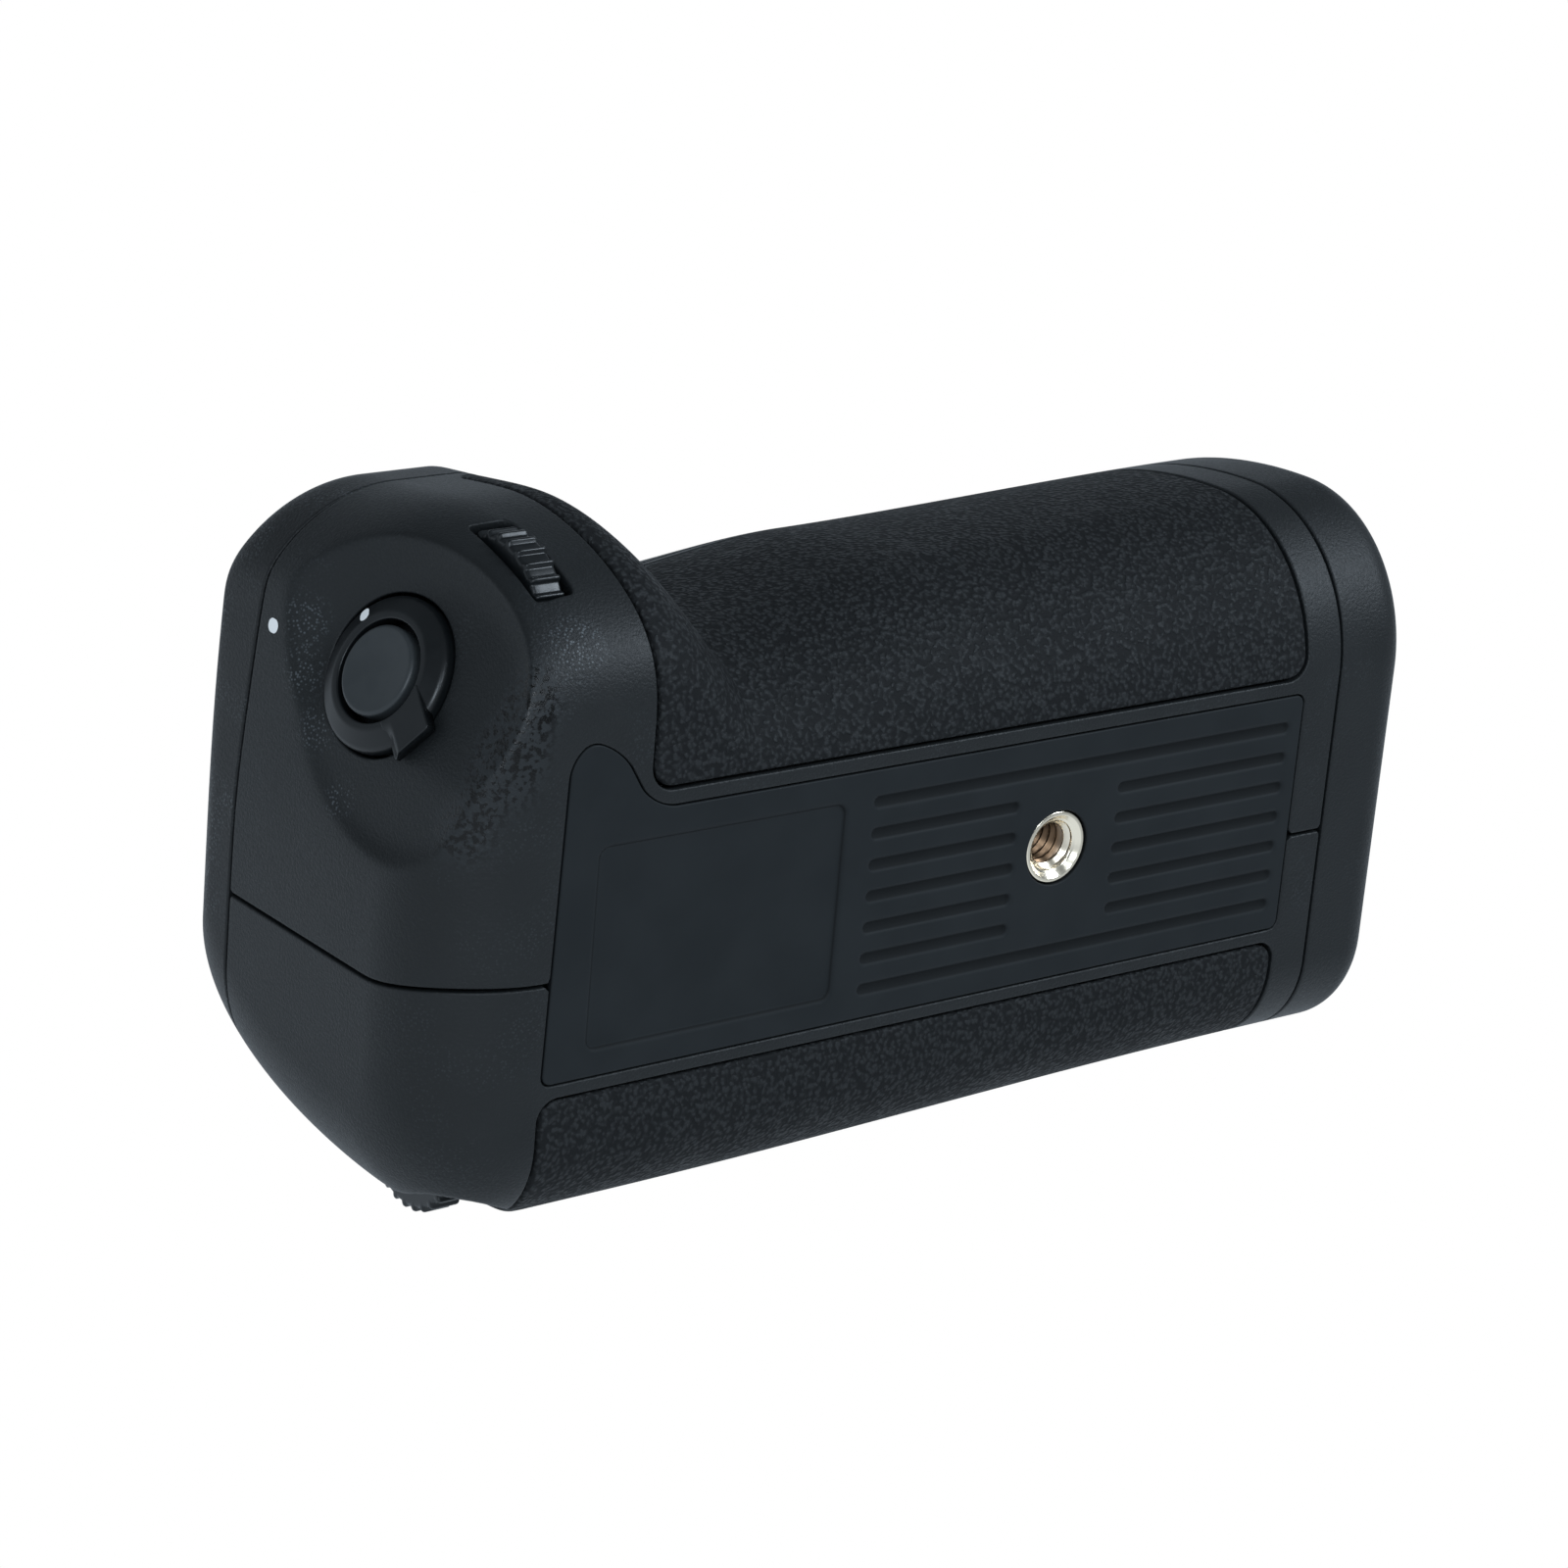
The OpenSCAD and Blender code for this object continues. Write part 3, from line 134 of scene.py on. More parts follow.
# Release, in a frame of its own: its axis leans out of the lobe's face
RELEASE = np.array((82.0, 25.5, 23.5))
RELEASE_TILT, RELEASE_TURN = radians(95.7), radians(27.5)
DISH_X, DISH_Y, DISH_A, DISH_B, DISH_RISE = 6.8, -2.5, 17.0, 14.7, 11.0
RELEASE_HOLE_R = 9.55
BUTTON_R, BUTTON_TOP, BUTTON_FOOT = 5.35, 2.3, -0.4
BUTTON_STEM_R, BUTTON_STEM_END = 1.6, -6.6
SPRING_POCKET_R, BUTTON_POCKET, FOCUS_POCKET = 3.6, 1.35, 1.15
RING_R0, RING_R1, RING_TOP = 6.1, 9.2, 1.9
LEVER_ANGLE, LEVER_SIDES, LEVER_END, LEVER_TOP, LEVER_FOOT = radians(-40.0), (-1.3, 4.7), 10.9, 2.0, 0.4
RING_MARK = (8.0, radians(143.0))
BODY_MARK = (-17.8, -1.0)

# Dials and rear controls
DIAL_R, DIAL_W, DIAL_RIBS, RIB_DEPTH = 9.0, 4.0, 28, 0.5
FRONT_DIAL = np.array((71.0, 33.829, 17.2))
REAR_DIAL = np.array((78.5, -28.232, 16.8))
DIAL_SLOT_R, DIAL_SLOT_HALF = 9.9, 2.6
SCOOP_R, SCOOP_LOW, SCOOP_HIGH = 9.0, (80.5, -39.9, 8.0), (79.0, -44.7, 24.0)
THUMB_Z = 30.0
FOCUS_X, FOCUS_R, FOCUS_FACE, FOCUS_FOOT = 58.0, 4.0, -36.776, -31.776
FOCUS_STEM_R, FOCUS_STEM = 1.5, 2.0
SELECTOR_X, SELECTOR_R, SELECTOR_FACE, SELECTOR_PIVOT = 40.0, 5.4, -36.987, -29.6
SELECTOR_HOLE_R = 7.0
WHEEL_Y, WHEEL_R, WHEEL_TEETH = -19.0, 14.4, 48
WHEEL_Z0, WHEEL_Z1 = 37.3, 41.3
WHEEL_HALF = 12.0

# Camera side
SEAT_PAD = (-41.0, 29.0, -16.0, 17.0)
SEAT_PAD_TOP, SEAT_PAD_THICK = 53.3, 0.9
BUSH_HOLE_R = 7.5
PLUG = (34.0, 56.0, -4.5, 4.5)
PLUG_TOP, PLUG_FOOT = 58.0, 49.6
CONTACTS = [(45 + 3.6 * i, 1.8 * side) for i in range(-2, 3) for side in (-1, 1)]
CONTACT_R = 0.5
LOCATING_PINS = ((34.0, -14.0), (-26.0, 9.0))
PIN_R, PIN_FOOT, PIN_TOP = 1.5, 49.1, 56.4
CASING_SCREWS = ((-36.0, 12.0), (-36.0, -12.0), (58.0, 28.0), (80.5, -12.0))
SCREW_HEAD_R = 1.9
KEY_Y, KEY_Z, KEY_RECESS_R = 27.2, 21.0, 6.3

# Fineness: points round a section and along the body, and steps of the flat grids
SECTION_POINTS = (84, 72, 76, 76, 34, 84)
LENGTH_ROWS = (24, 150, 50, 22, 60, 56, 40)
PAD_GRID, SEAT_GRID, PLUG_GRID, LEVER_GRID, PAINT_GRID = 0.31, 0.5, 0.27, 0.13, 0.06


# Shapes: arrays of points on a grid, joined by triangles


def ease(a, b, x):
    """Smooth step from 0 at a to 1 at b: 3u^2 - 2u^3."""
    u = np.clip((x - a) / (b - a), 0, 1)
    return u * u * (3 - 2 * u)


def drawn_in(x, limit, r):
    """How far a rounding of radius r has drawn in at x, as x nears its limit: r - sqrt(r^2 - u^2)."""
    u = np.clip(x - limit + r, 0, r)
    return r - np.sqrt(r * r - u * u)


def soft_positive(d, s):
    """max(d, 0) with its corner rounded over a width s: (d + sqrt(d^2 + s^2)) / 2."""
    return (d + np.sqrt(d * d + s * s)) / 2


def grid_triangles(rows, columns, wrap):
    """Two triangles for each cell of a rows x columns grid; wrap joins the last column to the first."""
    i = np.arange(rows - 1)[:, None]
    j = np.arange(columns if wrap else columns - 1)[None, :]
    k = (j + 1) % columns
    a, b = i * columns + j, i * columns + k
    c, d = b + columns, a + columns
    return np.concatenate([np.stack(t, -1).reshape(-1, 3) for t in ((a, b, c), (a, c, d))])


def weld(points, triangles):
    """Joins points that coincide and drops triangles that lost their area."""
    _, first, back = np.unique(np.round(points, 4), axis=0, return_index=True, return_inverse=True)
    triangles = back.reshape(-1)[triangles]
    a, b, c = triangles.T
    return points[first], triangles[(a != b) & (b != c) & (c != a)]


def vertex_normals(points, triangles):
    """Mean of the area normals of the triangles round each point."""
    a, b, c = (points[triangles[:, k]] for k in range(3))
    face = np.cross(b - a, c - a)
    total = np.stack([sum(np.bincount(triangles[:, k], face[:, axis], len(points)) for k in range(3))
                      for axis in range(3)], -1)
    return total / np.maximum(np.linalg.norm(total, axis=1, keepdims=True), 1e-12)


def local_frame(centre, tilt, turn):
    """4 x 4 matrix of a frame at centre, tilted about Y and then turned about Z."""
    ct, st, cz, sz = cos(tilt), sin(tilt), cos(turn), sin(turn)
    matrix = np.eye(4)
    matrix[:3, :3] = np.array(((ct * cz, -sz, st * cz), (ct * sz, cz, st * sz), (-st, 0, ct)))
    matrix[:3, 3] = centre
    return matrix


def placed(points, matrix):
    """Points of a local frame in the part's frame."""
    return points @ matrix[:3, :3].T + matrix[:3, 3]


RELEASE_FRAME = local_frame(RELEASE, RELEASE_TILT, RELEASE_TURN)
RELEASE_AXIS = RELEASE_FRAME[:3, 2]


def quarter(centre, reach, power, angles):
    """Quarter of a superellipse by polar angle: radius (cos^(2/p) + sin^(2/p))^(-p/2), times the reaches."""
    c, s = np.cos(angles), np.sin(angles)
    exponent = 2 / power[:, None]
    radius = (np.abs(c) ** exponent + np.abs(s) ** exponent) ** (-power[:, None] / 2)
    return np.stack([centre[0][:, None] + reach[0][:, None] * radius * c,
                     centre[1][:, None] + reach[1][:, None] * radius * s], -1)


def run(start, end, n):
    """n points of the straight line between two points of each section, ends left out."""
    u = np.linspace(0, 1, n + 2)[1:-1]
    return np.stack([a[:, None] * (1 - u) + b[:, None] * u for a, b in zip(start, end)], -1)


def rear_at(x):
    """Y of the rear face along the length."""
    return REAR_Y - REAR_SWELL * ease(*REAR_SWELL_X, x)


def section(x):
    """Outline of the body across its length at each x: base, front, seat and leaning back, as superellipse
    quarters and straight runs."""
    lobe = ease(*LOBE_X, x) ** LOBE_POWER

    def between(pair):
        return pair[0] + (pair[1] - pair[0]) * lobe

    grip = GRIP_Y + GRIP_SWELL * ease(*SWELL_X, x) - FINGER_HOLLOW * ease(*HOLLOW_X, x)
    at_cap = drawn_in(-x, -CAP_END, CAP_EDGE_R)
    in_base, in_front, in_rear, in_top = (
        drawn_in(x, BODY_END, r) + at_cap for r in (BASE_EDGE_R, FRONT_EDGE_R, REAR_EDGE_R, TOP_EDGE_R))
    nose_y = between((grip, LOBE_Y)) - in_front
    nose_z = between(NOSE_Z)
    base_y = between(BASE_Y) - 0.6 * in_front
    seat_y = between(SEAT_Y) - in_front
    seat_z = BODY_TOP - in_top
    back_y = rear_at(x) + in_rear
    round_r = np.maximum(BACK_ROUND - 0.6 * in_base, 3.0)
    back_z = in_base + round_r
    one = np.ones_like(x)
    count = SECTION_POINTS
    up = [np.linspace(0, pi / 2, n) for n in count]
    parts = [
        quarter((base_y, nose_z), (nose_y - base_y, in_base - nose_z), between(NOSE_POWER), up[0][::-1]),
        quarter((seat_y, nose_z), (nose_y - seat_y, seat_z - nose_z), between(SEAT_POWER), up[1])[:, 1:],
        run((seat_y, seat_z), (back_y + BACK_LEAN, seat_z), count[2]),
        quarter((back_y + BACK_LEAN, back_z), (-BACK_LEAN * one, seat_z - back_z), one, up[3][::-1]),
        quarter((back_y + round_r, back_z), (-round_r, in_base - back_z), one, up[4])[:, 1:],
        run((back_y + round_r, in_base), (base_y, in_base), count[5]),
    ]
    outline = np.concatenate(parts, 1)
    y, z = outline[..., 0], outline[..., 1]
    y += LOBE_BULGE * lobe[:, None] * (y > 0) * ease(*BULGE_Z[:2], z) * (1 - ease(*BULGE_Z[1:], z))
    return outline


def slanted(points):
    """Points past the slanted plane of the release end, brought back onto it along its normal."""
    normal = np.array((cos(END_SLANT), sin(END_SLANT), 0))
    over = (points - (BODY_END, END_SLANT_Y, 0)) @ normal
    return points - soft_positive(over, SLANT_SOFT)[:, None] * normal


def dished(points):
    """Points above the finger dish, pressed down onto it: an oval floor that runs out downwards, and flanks
    that rise by DISH_RISE over each half width."""
    x, y, height = ((points - RELEASE) @ RELEASE_FRAME[:3, :3]).T
    oval = np.hypot((x - DISH_X) / DISH_A, (y - DISH_Y) / DISH_B)
    surface = DISH_RISE * soft_positive(oval - 1, 0.12) - 0.3 * soft_positive(-8 - y, 1.5)
    return points - soft_positive(height - surface, 0.5)[:, None] * RELEASE_AXIS


def scooped(points):
    """Points inside a leaning rod with round ends behind the rear dial, pushed forward onto it."""
    x, y, z = points.T
    t = np.clip((z - SCOOP_LOW[2]) / (SCOOP_HIGH[2] - SCOOP_LOW[2]), 0, 1)
    cx, cy, cz = (a + (b - a) * t for a, b in zip(SCOOP_LOW, SCOOP_HIGH))
    off = np.hypot(x - cx, z - cz)
    floor = cy + np.sqrt(np.maximum(SCOOP_R ** 2 - off ** 2, 0))
    return points + np.stack([0 * x, soft_positive(floor - y, 0.5) * (off < SCOOP_R), 0 * x], 1)


def body_surface():
    """Closed skin of the body: sections along X, shrinking to a point in each end face, then slanted, dished
    and scooped at the release end."""
    n = LENGTH_ROWS
    turn = np.linspace(0, pi / 2, n[0])
    end = np.linspace(0, pi / 2, n[4])
    x = np.concatenate([
        CAP_END + CAP_EDGE_R * (1 - np.cos(turn)),
        np.linspace(CAP_END + CAP_EDGE_R, LOBE_X[0] - 2, n[1])[1:],
        np.linspace(LOBE_X[0] - 2, LOBE_X[1] + 2, n[2])[1:],
        np.linspace(LOBE_X[1] + 2, BODY_END - FRONT_EDGE_R, n[3])[1:],
        BODY_END - FRONT_EDGE_R + FRONT_EDGE_R * np.sin(end)[1:]])
    outline = section(x)
    middle = np.array((2.0, BODY_TOP / 2))

    def closing(edge, count):
        scale = np.linspace(0, 1, count)[:-1, None, None]
        return middle + scale * (edge - middle)

    rows = np.concatenate([closing(outline[0], n[6]), outline, closing(outline[-1], n[5])[::-1]])
    along = np.concatenate([np.full(n[6] - 1, x[0]), x, np.full(n[5] - 1, x[-1])])
    points = np.concatenate([np.broadcast_to(along[:, None, None], rows.shape[:2] + (1,)), rows], -1)
    points = scooped(dished(slanted(points.reshape(-1, 3))))
    return weld(points, grid_triangles(*rows.shape[:2], True))


# Regions: signed distances in millimetres, below 0 inside


def all_of(*parts):
    """Inside every part: the greatest of the distances."""
    return np.maximum.reduce(parts)


def round_both(a, b, r):
    """Inside both parts, with the corner between them rounded to r."""
    corner = np.hypot(np.maximum(a + r, 0), np.maximum(b + r, 0))
    return np.minimum(np.maximum(a, b), -r) + corner


def round_box(u, v, u0, u1, v0, v1, r):
    """Rectangle with corners of radius r."""
    du = np.abs(u - (u0 + u1) / 2) - (u1 - u0) / 2 + r
    dv = np.abs(v - (v0 + v1) / 2) - (v1 - v0) / 2 + r
    return np.hypot(np.maximum(du, 0), np.maximum(dv, 0)) + np.minimum(np.maximum(du, dv), 0) - r


def disc(u, v, centre, r):
    """Disc of radius r."""
    return np.hypot(u - centre[0], v - centre[1]) - r


def joined(a, b, r):
    """Inside either part, with the inner corner between them filled to radius r."""
    return np.maximum(np.minimum(a, b), r) - np.hypot(np.maximum(r - a, 0), np.maximum(r - b, 0))


def pad_area(x, y):
    """Base pad from below: an oblong with a rounded ear at its front corner, sloping down to its foot."""
    flank = (PAD_EAR_FOOT[0] - x + (y - PAD_EAR_FOOT[1]) * PAD_EAR_RUN) / np.hypot(1, PAD_EAR_RUN)
    front = joined(y - PAD_Y1, round_both(flank, y - PAD_EAR_TOP, PAD_EAR_R), 3.0)
    right = round_both(front, x - PAD_X1 + PAD_TAPER * y, PAD_EAR_R)
    return round_both(round_both(right, PAD_X0 - x, 1.2), PAD_Y0 - y, 1.2)


def pad_pocket(p):
    """Opening in the base that the pad fills."""
    return all_of(pad_area(p[:, 0], p[:, 1]) - PAD_GAP, p[:, 2] - 6)


def front_rubber(p):
    """Area of the front grip's rubber."""
    x, y, z = p.T
    ends = all_of(RUBBER_X0 - x, x - FRONT_RUBBER_X1)
    return round_both(round_both(ends, FRONT_RUBBER_Y - y, 3.0), z - RUBBER_TOP, 2.0)


def rear_rubber(p):
    """Area of the rear's rubber."""
    x, y, z = p.T
    ends = all_of(RUBBER_X0 - x, x - REAR_RUBBER_X1)
    return round_both(round_both(ends, y - REAR_RUBBER_Y, 2.5), z - REAR_RUBBER_TOP, 2.0)


def release_hole(p):
    """Round recess of the lock ring."""
    q = p - RELEASE
    along = q @ RELEASE_AXIS
    aside = np.sqrt(np.maximum(np.sum(q * q, 1) - along ** 2, 0))
    return all_of(aside - RELEASE_HOLE_R, np.abs(along) - 12)


def dial_slot(p, centre):
    """Slot that a dial stands out of, with rounded corners."""
    across = np.abs(p[:, 0] - centre[0]) - DIAL_SLOT_HALF
    return round_both(disc(p[:, 1], p[:, 2], centre[1:], DIAL_SLOT_R), across, 0.8)


def behind(p, area):
    """The area where it is on the back of the body."""
    return all_of(area, p[:, 1] + 15)


def wheel_window(p):
    """Window of the attachment wheel in the back."""
    window = round_box(p[:, 0], p[:, 2], -WHEEL_HALF, WHEEL_HALF, WHEEL_Z0 - 0.4, WHEEL_Z1 + 0.4, 1.0)
    return behind(p, window)


def focus_hole(p):
    """Hole of the focus button in the back."""
    return behind(p, disc(p[:, 0], p[:, 2], (FOCUS_X, THUMB_Z), FOCUS_R + 0.15))


def selector_hole(p):
    """Hole of the selector stick in the back."""
    return behind(p, disc(p[:, 0], p[:, 2], (SELECTOR_X, THUMB_Z), SELECTOR_HOLE_R))


def seat_holes(p):
    """Openings of the top cover: seat pad, contact plug, locating pins and screws."""
    x, y, z = p.T
    areas = [round_box(x, y, *SEAT_PAD, 3.0) - 0.1, round_box(x, y, *PLUG, 2.0) - 0.3]
    areas += [disc(x, y, centre, PIN_R + 0.1) for centre in LOCATING_PINS]
    areas += [disc(x, y, centre, SCREW_HEAD_R + 0.3) for centre in CASING_SCREWS]
    return all_of(np.minimum.reduce(areas), 40 - z)


def key_recess(p):
    """Round recess of the latch key in the end cap."""
    return all_of(disc(p[:, 1], p[:, 2], (KEY_Y, KEY_Z), KEY_RECESS_R), p[:, 0] + 50)


def parting_at(z):
    """Y of the seam between the front and rear mouldings, which leans back above the base."""
    return PARTING_Y[0] + (PARTING_Y[1] - PARTING_Y[0]) * ease(0, PARTING_Z, z)


def front_shell_area(p):
    """Front moulding: ahead of the parting seam, below the cover, without rubber, pad and openings."""
    x, y, z = p.T
    return all_of(parting_at(z) + SEAM - y, z - COVER_Z + SEAM, CAP_SEAM_X + SEAM - x, SEAM - front_rubber(p),
                  -pad_pocket(p), -release_hole(p), -dial_slot(p, FRONT_DIAL))


def rear_shell_area(p):
    """Rear moulding: behind the parting seam, below the cover, without rubber, pad and openings."""
    x, y, z = p.T
    return all_of(y - parting_at(z) + SEAM, z - COVER_Z + SEAM, CAP_SEAM_X + SEAM - x, SEAM - rear_rubber(p),
                  -pad_pocket(p), -dial_slot(p, REAR_DIAL), -wheel_window(p), -focus_hole(p),
                  -selector_hole(p))


def top_cover_area(p):
    """Top cover: everything above its seam, without its openings."""
    return all_of(COVER_Z + SEAM - p[:, 2], -seat_holes(p))


def end_cap_area(p):
    """End cap: beyond its seam and below the cover, without the key's recess."""
    return all_of(p[:, 0] - CAP_SEAM_X + SEAM, p[:, 2] - COVER_Z + SEAM, -key_recess(p))


def clip(points, normals, triangles, distance):
    """Part of a surface where distance is below 0, cut along the line where it is 0. Returns points, normals,
    triangles and the cut line's edges, each with the surface on its left."""
    inside = distance < 0
    corner_in = inside[triangles]
    count = corner_in.sum(1)
    whole = triangles[count == 3]

    def turned(chosen, first):
        step = (first[:, None] + np.arange(3)) % 3
        return np.take_along_axis(chosen, step, 1)

    one = count == 1
    ones = turned(triangles[one], corner_in[one].argmax(1))
    two = count == 2
    twos = turned(triangles[two], (~corner_in[two]).argmax(1))
    cuts = np.concatenate([ones[:, [0, 1]], ones[:, [0, 2]], twos[:, [1, 0]], twos[:, [2, 0]]])
    key = np.sort(cuts, 1)
    edges, back = np.unique(key, axis=0, return_inverse=True)
    back = back.reshape(-1) + len(points)
    a, b = edges.T
    t = (distance[a] / (distance[a] - distance[b]))[:, None]
    points = np.concatenate([points, points[a] * (1 - t) + points[b] * t])
    normals = np.concatenate([normals, normals[a] * (1 - t) + normals[b] * t])
    n1, n2 = len(ones), len(twos)
    p, q = back[:n1], back[n1:2 * n1]
    r, s = back[2 * n1:2 * n1 + n2], back[2 * n1 + n2:]
    made = [whole, np.stack([ones[:, 0], p, q], 1),
            np.stack([r, twos[:, 1], twos[:, 2]], 1), np.stack([r, twos[:, 2], s], 1)]
    border = np.concatenate([np.stack([p, q], 1), np.stack([s, r], 1)])
    border = border[border[:, 0] != border[:, 1]]
    return points, normals, np.concatenate(made), border


def slope(area, points):
    """Gradient of a region's distance, by central differences."""
    h = 0.02
    steps = np.eye(3) * h
    return np.stack([(area(points + step) - area(points - step)) / (2 * h) for step in steps], -1)


def skin(surface, area, radius, depth):
    """Closed sheet cut from a surface: its outer face, an edge rounded by a quarter turn of the given radius, a
    wall straight down to the depth, and the inner face there."""
    points, triangles = surface
    normals = vertex_normals(points, triangles)
    points, normals, triangles, border = clip(points, normals, triangles, area(points) + radius)
    used, back = np.unique(triangles, return_inverse=True)
    points, normals, triangles = points[used], normals[used], back.reshape(-1, 3)
    normals = normals / np.linalg.norm(normals, axis=1, keepdims=True)
    line, back = np.unique(np.searchsorted(used, border), return_inverse=True)
    border = back.reshape(-1, 2)
    edge, up = points[line], normals[line]
    out = slope(area, edge)
    out -= np.sum(out * up, 1, keepdims=True) * up
    out /= np.maximum(np.linalg.norm(out, axis=1, keepdims=True), 0.2)
    angle = np.linspace(0, pi / 2, EDGE_STEPS + 1)[1:]
    aside = list(radius * np.sin(angle)) + [radius]
    down = list(radius * (1 - np.cos(angle))) + [depth]
    rings = [edge + out * a - up * d for a, d in zip(aside, down)]
    n, m = len(points), len(line)
    inner = points - normals * depth
    every = np.concatenate([points] + rings + [inner])
    start = [line] + [n + k * m + np.arange(m) for k in range(len(rings))] + [n + len(rings) * m + line]
    strips = []
    for upper, lower in zip(start[:-1], start[1:]):
        a, b = upper[border[:, 0]], upper[border[:, 1]]
        c, d = lower[border[:, 1]], lower[border[:, 0]]
        strips += [np.stack([b, a, d], 1), np.stack([b, d, c], 1)]
    back_face = triangles[:, ::-1] + n + len(rings) * m
    return every, np.concatenate([triangles] + strips + [back_face])


def filleted(corners, steps=5):
    """Profile through corners (u, v, radius), each rounded by an arc of its radius."""
    path = np.array([c[:2] for c in corners], float)
    out = [path[:1]]
    for k in range(1, len(corners) - 1):
        r = corners[k][2]
        into, away = path[k - 1] - path[k], path[k + 1] - path[k]
        into, away = into / np.linalg.norm(into), away / np.linalg.norm(away)
        half = np.arccos(np.clip(into @ away, -1, 1)) / 2
        if r <= 0 or half > pi / 2 - 1e-3:
            out.append(path[k:k + 1])
            continue
        middle = (into + away) / np.linalg.norm(into + away)
        centre = path[k] + middle * r / sin(half)
        t = np.linspace(-1, 1, steps + 1)[:, None] * (pi / 2 - half)
        side = into - (into @ middle) * middle
        side = side / np.linalg.norm(side)
        out.append(centre - r * (np.cos(t) * middle + np.sin(t) * side))
    out.append(path[-1:])
    return np.concatenate(out)


def lathe(profile, turns=96):
    """Profile (radius, height) turned about Z, going up on its outside; ends on the axis close it."""
    a = np.arange(turns) * tau / turns
    r, z = profile[:, 0, None], profile[:, 1, None]
    points = np.stack([r * np.cos(a), r * np.sin(a), z + 0 * a], -1)
    return weld(points.reshape(-1, 3), grid_triangles(len(profile), turns, True))


def groove_depth(x, y):
    """Depth of the base pad's grooves and label place, with softly rounded edges."""
    depth = LABEL_D * ease(0.15, -0.35, round_box(x, y, LABEL_X0, LABEL_X1, LABEL_Y0, LABEL_Y1, LABEL_R))
    for k in range(GROOVE_N):
        at = GROOVE_Y - k * GROOVE_PITCH
        whole = ((GROOVE_X0, GROOVE_X1),)
        halves = ((GROOVE_X0, GROOVE_BREAK[0]), (GROOVE_BREAK[1], GROOVE_X1))
        for x0, x1 in halves if abs(at) <= GROOVE_BREAK_Y else whole:
            half = GROOVE_W / 2
            off = np.hypot(x - np.clip(x, x0 + half, x1 - half), y - at) - half
            depth = np.maximum(depth, GROOVE_D * ease(0.25, -0.45, off))
    return depth


def flat_grid(x0, x1, y0, y1, step, height, up=True):
    """Flat grid of points at a height, facing up or down."""
    x, y = np.arange(x0, x1 + step, step), np.arange(y0, y1 + step, step)
    gx, gy = (g.ravel() for g in np.meshgrid(x, y, indexing="ij"))
    triangles = grid_triangles(len(x), len(y), False)
    return np.stack([gx, gy, np.full_like(gx, height)], 1), triangles[:, ::-1] if up else triangles


def base_pad_skin():
    """Base pad: a flat sheet cut to its outline, pressed in along its grooves and label place."""
    grid = flat_grid(PAD_X0 - 0.5, PAD_X1 + 1.0, PAD_Y0 - 0.5, PAD_EAR_TOP + 0.5, PAD_GRID, 0.0, False)

    def area(p):
        return all_of(pad_area(p[:, 0], p[:, 1]), SOCKET_HOLE_R - np.hypot(p[:, 0], p[:, 1]))

    made, faces = skin(grid, area, 0.2, PAD_THICK)
    outer = made[:, 2] < PAD_THICK - 0.01
    made[:, 2] += groove_depth(made[:, 0], made[:, 1]) * outer
    return made, faces


def about_x(points, centre):
    """Points turned about Z, laid over so that they turn about X, at a centre."""
    return points[:, [2, 0, 1]] + centre


def about_y(points, centre):
    """Points turned about Z, laid over so that they turn about Y and face the rear, at a centre."""
    return np.stack([points[:, 0], -points[:, 2], points[:, 1]], 1) + centre


def ribbed(profile, ribs, depth, rib_half, turns_per_rib=16):
    """Profile turned about Z, whose rim near its greatest radius dips by depth between narrow ribs."""
    a = np.arange(ribs * turns_per_rib) * tau / (ribs * turns_per_rib)
    r, z = profile[:, 0, None], profile[:, 1, None]
    rim = profile[:, 0].max()
    off_rib = np.abs((a * ribs / tau + 0.5) % 1 - 0.5) * tau * rim / ribs
    dip = depth * ease(rib_half * 0.5, rib_half * 1.5, off_rib)
    radius = r - dip * ease(rim - 2.4 * depth, rim - 0.6 * depth, r)
    points = np.stack([radius * np.cos(a), radius * np.sin(a), z + 0 * a], -1).reshape(-1, 3)
    return weld(points, grid_triangles(len(profile), len(a), True))


def between_points(profile, longest):
    """Profile with its long runs split so that no step is longer than the given length."""
    parts = [profile[:1]]
    for a, b in zip(profile[:-1], profile[1:]):
        n = max(int(np.ceil(np.linalg.norm(b - a) / longest)), 1)
        parts.append(a + (b - a) * np.linspace(0, 1, n + 1)[1:, None])
    return np.concatenate(parts)


def dial(centre):
    """Ribbed dial about X with stepped side faces."""
    half = DIAL_W / 2
    profile = filleted(((0, -half + 0.6, 0), (5.5, -half + 0.6, 0.3), (6.1, -half, 0.3), (DIAL_R, -half, 0.5),
                        (DIAL_R, half, 0.5), (6.1, half, 0.3), (5.5, half - 0.6, 0.3), (0, half - 0.6, 0)))
    points, triangles = ribbed(between_points(profile, 0.9), DIAL_RIBS, RIB_DEPTH, 0.3)
    return about_x(points, centre), triangles


def attachment_wheel_shape():
    """Knurled wheel about Z."""
    half = (WHEEL_Z1 - WHEEL_Z0) / 2
    profile = filleted(((0, -half, 0), (WHEEL_R, -half, 0.5), (WHEEL_R, half, 0.5), (11, half, 0.3),
                        (10.5, half - 0.5, 0.3), (0, half - 0.5, 0)))
    points, triangles = ribbed(between_points(profile, 1.2), WHEEL_TEETH, 0.7, 0.45, 10)
    return points + (0, WHEEL_Y, (WHEEL_Z0 + WHEEL_Z1) / 2), triangles


